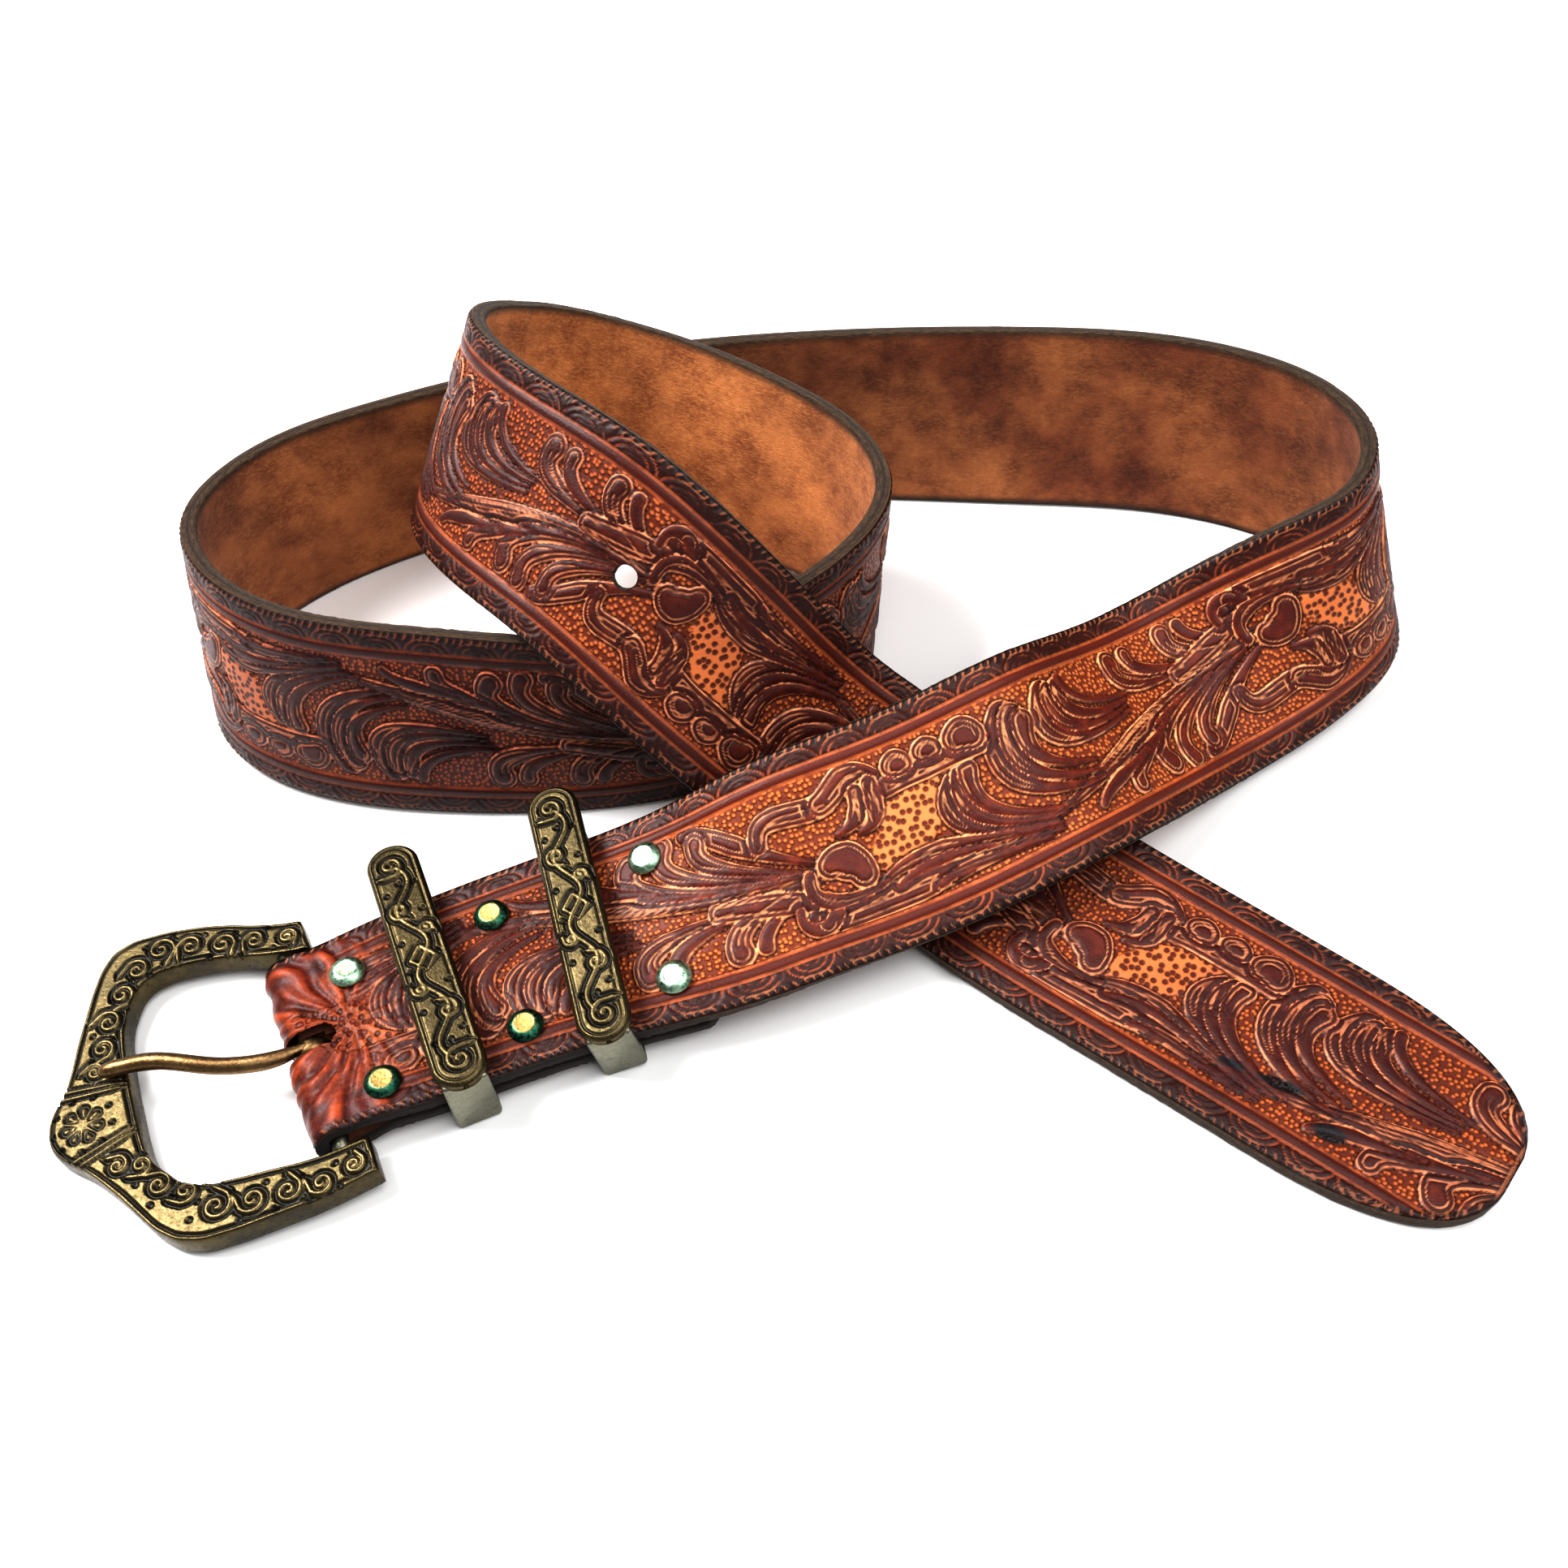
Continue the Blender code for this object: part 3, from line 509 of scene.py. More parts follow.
# %% A helper for node graphs
class Graph:
    """Writes a material's nodes as nested calls."""

    def __init__(self, name):
        self.mat = bpy.data.materials.new(name)
        self.mat.use_nodes = True
        self.tree = self.mat.node_tree
        self.shader = self.tree.nodes["Principled BSDF"]

    def node(self, kind, **settings):
        n = self.tree.nodes.new(kind)
        for key, value in settings.items():
            setattr(n, key, value)
        return n

    def plug(self, socket, value):
        if isinstance(value, bpy.types.NodeSocket):
            self.tree.links.new(value, socket)
        elif isinstance(value, (tuple, list)):
            socket.default_value = (*value, 1) if len(socket.default_value) == 4 else value
        else:
            socket.default_value = value

    def attribute(self, name, output="Fac"):
        return self.node("ShaderNodeAttribute", attribute_name=name).outputs[output]

    def math(self, operation, a, b=0.0, clamp=False):
        n = self.node("ShaderNodeMath", operation=operation, use_clamp=clamp)
        self.plug(n.inputs[0], a)
        self.plug(n.inputs[1], b)
        return n.outputs[0]

    def times(self, a, b):
        return self.math("MULTIPLY", a, b)

    def ramp(self, value, low, high, to_low=0.0, to_high=1.0):
        n = self.node("ShaderNodeMapRange", interpolation_type="SMOOTHSTEP")
        for socket, v in zip(n.inputs, (value, low, high, to_low, to_high)):
            self.plug(socket, v)
        return n.outputs[0]

    def mix(self, factor, a, b, blend="MIX"):
        n = self.node("ShaderNodeMix", data_type="RGBA", blend_type=blend)
        self.plug(n.inputs["Factor"], factor)
        self.plug(n.inputs[6], a)
        self.plug(n.inputs[7], b)
        return n.outputs[2]

    def noise(self, vector, scale, detail=3.0, rough=0.55):
        n = self.node("ShaderNodeTexNoise")
        self.plug(n.inputs["Vector"], vector)
        self.plug(n.inputs["Scale"], scale)
        self.plug(n.inputs["Detail"], detail)
        self.plug(n.inputs["Roughness"], rough)
        return n.outputs["Fac"]

    def cells(self, vector, scale, random=1.0):
        n = self.node("ShaderNodeTexVoronoi", feature="F1", voronoi_dimensions="2D")
        self.plug(n.inputs["Vector"], vector)
        self.plug(n.inputs["Scale"], scale)
        self.plug(n.inputs["Randomness"], random)
        return n.outputs["Distance"]

    def stretched(self, vector, scale):
        n = self.node("ShaderNodeMapping")
        self.plug(n.inputs["Vector"], vector)
        self.plug(n.inputs["Scale"], scale)
        return n.outputs["Vector"]

    def objects(self, scale=1000.0):
        n = self.node("ShaderNodeTexCoord")
        return self.stretched(n.outputs["Object"], (scale, scale, scale))

    def bump(self, height, distance, strength=1.0, normal=None):
        n = self.node("ShaderNodeBump")
        self.plug(n.inputs["Height"], height)
        self.plug(n.inputs["Distance"], distance)
        self.plug(n.inputs["Strength"], strength)
        if normal is not None:
            self.plug(n.inputs["Normal"], normal)
        return n.outputs["Normal"]

    def finish(self, colour, rough, normal=None, **fixed):
        self.plug(self.shader.inputs["Base Color"], colour)
        self.plug(self.shader.inputs["Roughness"], rough)
        if normal is not None:
            self.plug(self.shader.inputs["Normal"], normal)
        for key, value in fixed.items():
            self.plug(self.shader.inputs[key.replace("_", " ")], value)
        return self.mat


# %% [markdown]
# ## Dyed leather
# The dye is dark in the petals and rubbed to orange on the beaten ground. The pale cut lines are
# rubbed crests with a painted highlight on them, and the dark bands beside the cuts and the veins
# are antique dye with painted shade. A petal is painted in shade where another covers it, the gaps
# between the ground's beads are darkened with antique dye and painted shade, and the creases at
# the fold are painted darker in their troughs as shade. These colours follow the distances stored
# on the grid, so paint and relief always agree, and nothing blurs close up as an image would.

# %% Tooled leather
def tooled_leather():
    g = Graph("tooled_leather")
    flat = g.attribute("flat", "Vector")
    cut, vein, edge = g.attribute("cut"), g.attribute("vein"), g.attribute("edge")
    tone, seed, fan = g.attribute("tone"), g.attribute("seed"), g.attribute("fan")
    rim_away = g.attribute("rim")
    figure = g.ramp(cut, -0.10, 0.10)
    dome = g.ramp(g.cells(flat, 0.85, 0.75), 0.56, 0.18)
    hollow = g.ramp(g.cells(flat, 0.60, 0.75), 0.16, 0.46)
    cloud = g.noise(flat, 0.045, 3.0)
    grain = g.noise(flat, 1.9, 4.0, 0.7)
    patch = g.noise(flat, 0.22, 3.0, 0.6)
    strap_tone = g.math("ADD", tone, g.ramp(cloud, 0.2, 0.8, -0.20, 0.20), clamp=True)

    # The darker colour between the ground's beads is antique dye and painted shade.
    bead_gap_dye_and_shade = g.mix(strap_tone, (0.060, 0.009, 0.005), (0.20, 0.034, 0.010))
    ground_light = g.mix(strap_tone, (0.27, 0.055, 0.020), (0.66, 0.200, 0.055))
    ground = g.mix(dome, bead_gap_dye_and_shade, ground_light)
    seed_light = g.mix(strap_tone, (0.36, 0.090, 0.032), (0.74, 0.250, 0.078))
    seeds = g.mix(hollow, g.mix(strap_tone, (0.05, 0.006, 0.004), (0.15, 0.022, 0.007)), seed_light)
    ground = g.mix(seed, ground, seeds)
    # Darker ground beside each petal's cut: antique dye and painted shade.
    cut_dye_and_shade = g.times(g.ramp(cut, -0.60, -0.10), 0.80)
    ground = g.mix(cut_dye_and_shade, ground, (0.050, 0.007, 0.004))

    petal = g.mix(strap_tone, (0.022, 0.0030, 0.0034), (0.115, 0.015, 0.007))
    petal = g.mix(g.times(g.ramp(patch, 0.42, 0.78), 0.6), petal,
                  g.mix(strap_tone, (0.070, 0.009, 0.006), (0.33, 0.055, 0.015)))
    # Pale cut lines: the rubbed crest of each cut with a painted highlight on it.
    pale_line_and_highlight = g.mix(strap_tone, (0.52, 0.150, 0.080), (0.95, 0.44, 0.20))
    broken = g.times(g.attribute("line"),
                    g.ramp(g.noise(flat, 0.35, 2.0), 0.30, 0.60, 0.25, 1.0))
    lines = g.times(g.ramp(cut, 0.48, 0.24), broken)
    petal = g.mix(lines, petal, pale_line_and_highlight)
    # Darker bands beside the veins: antique dye and painted shade.
    vein_dye_and_shade = g.times(g.ramp(vein, 0.90, 0.40), 0.40)
    petal = g.mix(vein_dye_and_shade, petal, (0.016, 0.002, 0.002))
    # Pale vein lines in the same colour: rubbed crest with a painted highlight.
    veins = g.times(g.ramp(vein, 0.30, 0.10), g.times(broken, 0.62))
    petal = g.mix(veins, petal, pale_line_and_highlight)
    # Painted shade on a petal where another petal's edge covers it.
    under = g.times(g.ramp(g.attribute("cover"), 0.75, 0.20), 0.90)
    petal = g.mix(under, petal, (0.012, 0.0015, 0.0015))
    colour = g.mix(figure, ground, petal)

    in_band = g.times(g.ramp(edge, 6.75, 6.55), g.ramp(edge, 4.1, 4.3))
    colour = g.mix(in_band, colour, g.mix(strap_tone, (0.030, 0.005, 0.004), (0.12, 0.018, 0.008)))
    rim = g.mix(strap_tone, (0.016, 0.003, 0.003), (0.050, 0.009, 0.005))
    arcs = g.mix(strap_tone, (0.14, 0.028, 0.015), (0.36, 0.085, 0.030))
    arcs = g.mix(g.ramp(patch, 0.40, 0.60), rim, arcs)
    outer = g.mix(g.ramp(fan, 0.40, 0.95), rim, arcs)
    colour = g.mix(g.ramp(edge, 4.25, 4.05), colour, outer)
    for place in BORDER_LINES:
        away = g.math("ABSOLUTE", g.math("SUBTRACT", edge, place))
        hot = g.times(g.ramp(away, 0.46, 0.18), 0.80)
        hot = g.times(hot, g.ramp(patch, 0.35, 0.60, 0.45, 1.0))
        colour = g.mix(hot, colour, g.mix(strap_tone, (0.20, 0.042, 0.018), (0.52, 0.145, 0.042)))
    folded = g.attribute("folded")
    # At the fold the leather's own red-orange is painted darker in the crease troughs as shade.
    fold_red_and_crease_shade = g.mix(g.ramp(g.attribute("wave"), 0.36, 0.86), (0.040, 0.005, 0.004),
                    (0.46, 0.085, 0.022))
    fold_red_and_crease_shade = g.mix(g.ramp(patch, 0.32, 0.62, 0.0, 0.75), fold_red_and_crease_shade, (0.13, 0.014, 0.006))
    colour = g.mix(g.times(folded, 0.88), colour, fold_red_and_crease_shade)
    on_rim = g.ramp(rim_away, 2.1, 1.0, 0.0, 0.85)
    toothed = g.mix(g.ramp(fan, 0.45, 0.75), (0.020, 0.005, 0.004),
                    g.mix(strap_tone, (0.16, 0.045, 0.025), (0.42, 0.16, 0.070)))
    colour = g.mix(on_rim, colour, toothed)
    colour = g.mix(g.ramp(rim_away, 0.5, 0.15), colour, (0.016, 0.008, 0.006))
    colour = g.mix(g.times(g.attribute("ink"), 0.95), colour, (0.005, 0.005, 0.008))
    colour = g.mix(g.ramp(grain, 0.62, 0.80, 0.0, 0.22), colour, (0.75, 0.30, 0.12))
    colour = g.mix(g.ramp(grain, 0.40, 0.25, 0.0, 0.30), colour, (0.03, 0.005, 0.003))

    beads = g.times(dome, g.math("SUBTRACT", 1.0, figure))
    beads = g.times(beads, g.ramp(edge, 6.9, 7.3))
    beads = g.times(beads, g.ramp(folded, 0.6, 0.1))
    holes = g.times(hollow, seed)
    stipple = g.math("ADD", g.times(beads, g.math("SUBTRACT", 1.0, seed)), holes)
    normal = g.bump(stipple, 0.00050)
    normal = g.bump(grain, 0.00014, 1.0, normal)
    rough = g.ramp(g.noise(flat, 0.8, 3.0), 0.3, 0.7, 0.26, 0.42)
    return g.finish(colour, rough, normal, Coat_Weight=0.08, Coat_Roughness=0.2,
                    Specular_IOR_Level=0.26)


# %% [markdown]
# ## Suede
# The flesh side is a soft nap in patches of brown and tan, and the cut edges are dark fibres.
# Stretched noise gives both, with little shine, since rough leather scatters light.

# %% Suede back and fibrous edges
def suede():
    g = Graph("suede")
    flat = g.attribute("flat", "Vector")
    tone, side = g.attribute("tone"), g.attribute("side")
    across = g.attribute("edge")
    nap = g.noise(g.stretched(flat, (1.0, 2.2, 1.0)), 0.9, 5.0, 0.75)
    cloud = g.noise(flat, 0.035, 4.0, 0.6)
    blotch = g.noise(flat, 0.10, 4.0, 0.65)
    strap_tone = g.math("ADD", tone, g.ramp(cloud, 0.25, 0.75, -0.30, 0.30), clamp=True)
    dark = g.mix(strap_tone, (0.075, 0.018, 0.009), (0.28, 0.085, 0.028))
    light = g.mix(strap_tone, (0.200, 0.052, 0.021), (0.62, 0.26, 0.092))
    colour = g.mix(g.ramp(blotch, 0.30, 0.70), dark, light)
    colour = g.mix(g.ramp(nap, 0.40, 0.72, 0.0, 0.55), colour,
                   g.mix(strap_tone, (0.26, 0.075, 0.028), (0.86, 0.42, 0.15)))
    colour = g.mix(g.ramp(across, 2.2, 0.2, 0.0, 0.85), colour, (0.035, 0.017, 0.010))
    fibre = g.noise(g.stretched(flat, (0.5, 6.0, 6.0)), 1.1, 5.0, 0.7)
    rimmed = g.mix(g.ramp(fibre, 0.40, 0.75), (0.018, 0.009, 0.006), (0.19, 0.11, 0.050))
    rimmed = g.mix(g.ramp(tone, 0.11, 0.20), (0.010, 0.006, 0.004), rimmed)
    core = g.math("ABSOLUTE", g.math("SUBTRACT", side, 0.5))
    rimmed = g.mix(g.ramp(core, 0.16, 0.05, 0.0, 0.75), rimmed, (0.020, 0.012, 0.009))
    colour = g.mix(g.ramp(side, 0.02, 0.12), colour, rimmed)
    normal = g.bump(nap, 0.00030)
    normal = g.bump(g.noise(flat, 3.5, 4.0), 0.00010, 1.0, normal)
    return g.finish(colour, 0.88, normal, Sheen_Weight=0.12, Sheen_Roughness=0.6,
                    Specular_IOR_Level=0.15)


# %% [markdown]
# ## Old brass
# Handled brass is bright where it is rubbed and nearly black in its hollows. The mesh stores how
# high each place stands, so one recipe serves the buckle, the loops, the wire and, with a ring
# of green added, the rivets.

# %% Brass
def brass(name, bright, middle, dark, verdigris=None):
    g = Graph(name)
    place = g.objects()
    high = g.attribute("high")
    cloud = g.noise(place, 0.16, 4.0, 0.6)
    speck = g.noise(place, 1.3, 4.0, 0.7)
    worn = g.math("ADD", high, g.ramp(cloud, 0.3, 0.7, -0.16, 0.16), clamp=True)
    colour = g.mix(g.ramp(worn, 0.0, 0.5), dark, middle)
    colour = g.mix(g.ramp(worn, 0.62, 1.0, 0.0, 0.8), colour, bright)
    colour = g.mix(g.ramp(speck, 0.56, 0.72, 0.0, 0.55), colour, dark)
    rough = g.ramp(speck, 0.3, 0.7, 0.24, 0.46)
    metal = g.ramp(worn, 0.0, 0.45, 0.55, 1.0)
    if verdigris:
        ring = g.times(g.attribute("ring"), g.ramp(cloud, 0.2, 0.5, 0.65, 1.0))
        patina = g.mix(g.ramp(speck, 0.35, 0.65), verdigris[0], verdigris[1])
        colour = g.mix(ring, colour, patina)
    g.plug(g.shader.inputs["Metallic"], metal)
    return g.finish(colour, rough, g.bump(speck, 0.00008))


LEATHER = tooled_leather()
SUEDE = suede()
BRASS = brass("antique_brass", (0.33, 0.25, 0.125), (0.095, 0.074, 0.038), (0.010, 0.008, 0.005))
LEG_BRASS = brass("grey_brass", (0.34, 0.32, 0.25), (0.190, 0.185, 0.140), (0.055, 0.052, 0.040))
WIRE_BRASS = brass("wire_brass", (0.42, 0.29, 0.15), (0.20, 0.125, 0.060), (0.05, 0.03, 0.015))
GREEN_RIVET = brass("green_rivet", (0.60, 0.42, 0.18), (0.46, 0.31, 0.12), (0.20, 0.14, 0.05),
                    ((0.006, 0.045, 0.026), (0.045, 0.150, 0.100)))
PALE_RIVET = brass("pale_rivet", (0.66, 0.60, 0.40), (0.56, 0.52, 0.34), (0.26, 0.28, 0.18),
                   ((0.19, 0.33, 0.23), (0.40, 0.54, 0.41)))
print("materials", len(bpy.data.materials))


# %% [markdown]
# ## Meshes with values on them
# Each piece is built as a grid or a sweep in millimetres and handed over in metres. The values
# that a finish needs, such as the distance to a cut line, are stored on the vertices.

# %% Making an object from arrays
def make_object(name, points, faces, material, body, values):
    """A piece from points in millimetres, its faces, and the values that its finish reads."""
    mesh = bpy.data.meshes.new(name)
    mesh.vertices.add(len(points))
    mesh.vertices.foreach_set("co", (np.asarray(points) * MM).ravel())
    sizes = np.array([len(f) for f in faces])
    corners = np.concatenate(faces)
    mesh.loops.add(len(corners))
    mesh.loops.foreach_set("vertex_index", corners)
    mesh.polygons.add(len(faces))
    mesh.polygons.foreach_set("loop_start", np.concatenate([[0], np.cumsum(sizes)[:-1]]))
    mesh.polygons.foreach_set("use_smooth", np.full(len(faces), True))
    mesh.update(calc_edges=True)
    mesh.validate()
    for key, value in values.items():
        if value.ndim == 2:
            mesh.attributes.new(key, "FLOAT_VECTOR", "POINT").data.foreach_set(
                "vector", value.astype(float).ravel())
        else:
            mesh.attributes.new(key, "FLOAT", "POINT").data.foreach_set("value", value.astype(float))
    mesh.materials.append(material)
    ob = bpy.data.objects.new(name, mesh)
    bpy.context.scene.collection.objects.link(ob)
    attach(ob, body)
    return ob


def grid_faces(rows, columns, keep=None):
    i, j = np.meshgrid(np.arange(rows - 1), np.arange(columns - 1), indexing="ij")
    a = (i * columns + j).ravel()
    faces = np.stack([a, a + columns, a + columns + 1, a + 1], 1)
    return faces if keep is None else faces[keep.ravel()]


# %% [markdown]
# ## The tooled face
# Real tooling is cut and pressed about half a millimetre deep, which is deep enough to catch the
# light, so it is modelled and not only painted. The face is a grid of half-millimetre squares in
# four lengths, so that no piece grows past two hundred thousand triangles.

# %% The tooled face of the strap
PRONG_HOLES = (962.8, 1017.4, 1042.8, 1068.2)
HOLE_RADIUS = 2.4
SLOT_HALF, SLOT_TO, SLOT_FROM = 2.5, 10.2, -21.0
INK = ((1128.0, -8.5, 5.0, 1.5), (1139.5, -12.0, 3.4, 1.8), (1119.0, -10.0, 3.0, 1.0))


def hole_distance(u, v):
    """How far outside the nearest prong hole or slot a place lies, below zero inside it."""
    away = np.min([np.hypot(u - s, v) for s in PRONG_HOLES], axis=0) - HOLE_RADIUS
    end = np.maximum(np.maximum(u - SLOT_TO + SLOT_HALF, SLOT_FROM - u), 0)
    return np.minimum(away, np.hypot(end, v) - SLOT_HALF)


def pull_to_rim(u, v, reach):
    """Moves places just beside a hole's rim onto it, so that the hole is round."""
    for s in PRONG_HOLES:
        r = np.hypot(u - s, v)
        close = (r > HOLE_RADIUS - reach) & (r < HOLE_RADIUS + reach)
        k = np.where(close, HOLE_RADIUS / np.maximum(r, 0.1), 1.0)
        u, v = s + (u - s) * k, v * k
    return u, v


CREASE_HIGH = 0.42


def creases(u, v):
    """Wavy creases that run out from the prong slot round the fold."""
    d = np.hypot(u - 8.0, v)
    around = np.arctan2(v, 14.0 - u)
    waves = np.sin(around * 15 + 1.6 * np.sin(d * 0.33) + 0.9 * np.sin(v * 0.7)) * 0.6
    waves = waves + 0.4 * np.sin(around * 31 - 1.2 * np.sin(d * 0.5))
    return CREASE_HIGH * waves, smooth_step(-u, -26.0, -9.0)


def face_piece(name, start, end, step):
    rows = np.linspace(start, end, int(round((end - start) / step)) + 1)
    columns = int(round(FULL_WIDTH / step)) + 1
    mid, across, face, half, thick = leather_at(rows)
    share = np.linspace(-1, 1, columns)
    u = np.repeat(rows[:, None], columns, 1)
    v = share[None, :] * half[:, None]
    u, v = pull_to_rim(u, v, 0.3)
    slope = np.gradient(half, rows)
    e_scale = 1 / np.sqrt(1 + np.clip(slope, -6, 6) ** 2)
    near_end = STRAP_LENGTH - u
    rim = np.minimum((half[:, None] - abs(v)) * e_scale[:, None], near_end)
    straight = (grown_width(rows) - (BUCKLE_END_WIDTH - FOLD_WIDTH)
                * (1 - smooth_step(rows, 8.0, 26.0))) / 2
    h, fields = relief(u, v, straight[:, None] - abs(v), rim)
    wave, folded = creases(u, v)
    h = h + wave * folded
    fields["wave"] = 0.5 + wave
    fields["folded"] = folded
    shift = u - rows[:, None]
    run = unit(np.gradient(mid, rows, axis=0))
    points = (mid[:, None] + across[:, None] * v[..., None] + run[:, None] * shift[..., None]
              + face[:, None] * (thick[:, None] / 2 + h)[..., None])
    inside = hole_distance(u, v)
    middle = (inside[:-1, :-1] + inside[1:, :-1] + inside[:-1, 1:] + inside[1:, 1:]) / 4
    ink = np.max([1 - smooth_step(np.hypot((u - a) / w, (v - b - (u - a) * 0.12) / t), 0.7, 1.0)
                  for a, b, w, t in INK], axis=0)
    values = {key: f.ravel() for key, f in fields.items()}
    values["flat"] = np.stack([u, v, 0 * u], -1).reshape(-1, 3)
    values["tone"] = tone_at(u, "face").ravel()
    values["ink"] = ink.ravel()
    faces = grid_faces(len(rows), columns, middle > 0)
    return make_object(name, points.reshape(-1, 3), faces, LEATHER, "belt", values)


FACE_STEP = 0.42
TURN_BACK_AT = FOLD_START - (TURN_BACK_END - BAR_AT)
FACE_CUTS = (TURN_BACK_AT, 230.0, 545.0, 860.0, STRAP_LENGTH - 0.2)
face_pieces = []
for number, (a, b) in enumerate(zip(FACE_CUTS, FACE_CUTS[1:])):
    face_pieces.append(face_piece(f"tooled_face_{number + 1}", a, b, FACE_STEP))
print("face triangles", [2 * len(p.data.polygons) for p in face_pieces])

# %% [markdown]
# ## The suede side and the cut edges
# The back of the strap is the rough side of the hide, and its cut edges show the fibres. One
# coarser sheet runs down one edge, across the back and up the other edge, and meets the tooled
# face on the same line.


# %% Back, edges and hole walls
EDGE_TOP, EDGE_FALL = 0.5 - 0.55 / STRAP_THICK, 1 - 0.95 / STRAP_THICK
EDGE_BULGE, BACK_SHARE = 0.18, 0.982
EDGE_COUNT, BACK_COUNT = 7, 45


def back_profile():
    """One edge, the back and the other edge: share of the half width, level, bulge, place."""
    edge = [(EDGE_TOP - k * EDGE_FALL, math.sin(math.pi * k) * EDGE_BULGE, k)
            for k in np.linspace(0, 1, EDGE_COUNT)]
    rows = [(1.0, level, bulge, k) for level, bulge, k in edge]
    rows += [(k * BACK_SHARE, -0.5, 0.0, 0.0) for k in np.linspace(1, -1, BACK_COUNT)]
    rows += [(-1.0, level, -bulge, k) for level, bulge, k in reversed(edge)]
    return [np.array(column) for column in zip(*rows)]


def back_sheet():
    step = 1.0
    rows = np.linspace(TURN_BACK_AT, STRAP_LENGTH - 0.2, int((STRAP_LENGTH - TURN_BACK_AT) / step))
    mid, across, face, half, thick = leather_at(rows)
    share, level, bulge, side = back_profile()
    n = len(share)
    u = np.repeat(rows[:, None], n, 1)
    v = share[None] * half[:, None] + bulge[None]
    fuzz = rng.normal(0, 0.06, u.shape) * (side[None] > 0)
    pulled, v = pull_to_rim(u, v, 0.55)
    run = unit(np.gradient(mid, rows, axis=0))
    mid = mid[:, None] + run[:, None] * (pulled - u)[..., None]
    u = pulled
    points = (mid + across[:, None] * (v + np.sign(share)[None] * fuzz)[..., None]
              + face[:, None] * (level[None] * thick[:, None])[..., None])
    inside = hole_distance(u, v)
    middle = (inside[:-1, :-1] + inside[1:, :-1] + inside[:-1, 1:] + inside[1:, 1:]) / 4
    on_side = np.repeat(side[None], len(rows), 0)
    keep = (middle > 0) | (on_side[1:, 1:] > 0)
    values = {"flat": np.stack([u, v, level[None] * thick[:, None] * 2], -1).reshape(-1, 3),
              "tone": tone_at(u, "back").ravel(), "side": on_side.ravel(),
              "edge": (half[:, None] - abs(v)).ravel()}
    faces = grid_faces(len(rows), n, keep)[:, ::-1]
    end = (len(rows) - 1) * n + np.arange(n)
    face_list = [tuple(f) for f in faces] + [tuple(end)] + [tuple(np.arange(n)[::-1])]
    return make_object("suede_back", points.reshape(-1, 3), face_list, SUEDE, "belt",
                       values)


def hole_walls():
    points, faces = [], []
    for s in PRONG_HOLES:
        mid, along, across, face = (a[0] for a in strap_at(s))
        base = len(points)
        turn = np.linspace(0, 2 * math.pi, 32, endpoint=False)
        for level in (STRAP_THICK / 2 - 0.15, 0.0, -STRAP_THICK / 2):
            points += [mid + along * HOLE_RADIUS * math.cos(a) + across * HOLE_RADIUS * math.sin(a)
                       + face * level for a in turn]
        for ring in (0, 32):
            for i in range(32):
                j = (i + 1) % 32
                faces.append((base + ring + i, base + ring + 32 + i, base + ring + 32 + j,
                              base + ring + j))
    points = np.array(points)
    values = {"flat": points, "tone": np.full(len(points), 0.1), "side": np.full(len(points), 0.5),
              "edge": np.full(len(points), 0.5)}
    return make_object("hole_walls", points, faces, SUEDE, "belt", values)


back = back_sheet()
hole_walls()
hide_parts("strap")
print("back triangles", 2 * len(back.data.polygons))

# %% [markdown]
# ## Cast scrolls
# The buckle and the loops were cast with raised scrolls on a sunk ground that has gone black,
# and small pits between them. The same brush strokes draw them: each is a curl or a wavy line in
# the plan of the piece, and the fine grid of its top rises where a stroke passes.

# %% Scroll helpers
Curl = namedtuple("Curl", "x y size turn way")
CURL_STEPS = 26


def curl_points(curl, turns=1.35):
    """A comma: a tail that winds into a spiral."""
    k = np.linspace(0, 1, CURL_STEPS)
    angle = math.radians(curl.turn) + curl.way * 2 * math.pi * turns * k
    r = curl.size * (1.0 - 0.82 * k ** 0.8)
    x = curl.x + r * np.cos(angle)
    y = curl.y + r * np.sin(angle)
    tail = curl.size * 1.5
    out = np.array([math.cos(angle[0] - curl.way * 1.75), math.sin(angle[0] - curl.way * 1.75)])
    first = np.array([[x[0], y[0]]])
    lead = first + out * tail * np.array([[1.0], [0.66], [0.33]])
    return np.vstack([lead, np.stack([x, y], 1)])


def raised(points_list, wide, gx, gy):
    """Height of half-round ridges along lines, 0 to 1."""
    best = np.zeros(gx.shape)
    for points in points_list:
        near = (abs(gx - points[:, 0].mean()) < np.ptp(points[:, 0]) / 2 + wide + 1) & (
            abs(gy - points[:, 1].mean()) < np.ptp(points[:, 1]) / 2 + wide + 1)
        if not near.any():
            continue
        w = np.full(len(points), wide)
        w[0] = wide * 0.3
        d = depth_in(points, w, gx[near], gy[near])[0]
        k = np.clip(d / wide, 0, 1)
        best[near] = np.maximum(best[near], np.sqrt(k * (2 - k)))
    return best


def cast(ridge, halo, border_line, holes):
    """Height under the smooth top in mm, and wear: hollows lie beside each raised line."""
    hollow = np.clip(halo * 1.6, 0, 1) * (1 - ridge)
    hollow = np.maximum(hollow, border_line * (1 - ridge))
    h = -0.50 * hollow - 0.10 * (1 - ridge) - 0.45 * holes
    high = 0.48 + 0.20 * ridge - 0.50 * hollow - 0.5 * holes
    return h, np.clip(high, 0, 1)


def pits(centres, size, gx, gy):
    best = np.zeros(gx.shape)
    for x, y in centres:
        best = np.maximum(best, 1 - smooth_step(np.hypot(gx - x, gy - y) / size, 0.5, 1.0))
    return best


# %% [markdown]
# ## The buckle
# The frame is one casting: two arms, a front rail that comes to a point under a round knob, and
# the bar. A short table gives half its plan, the other half is its mirror image, and a closed
# section swept along it has a fine top for the scrolls.

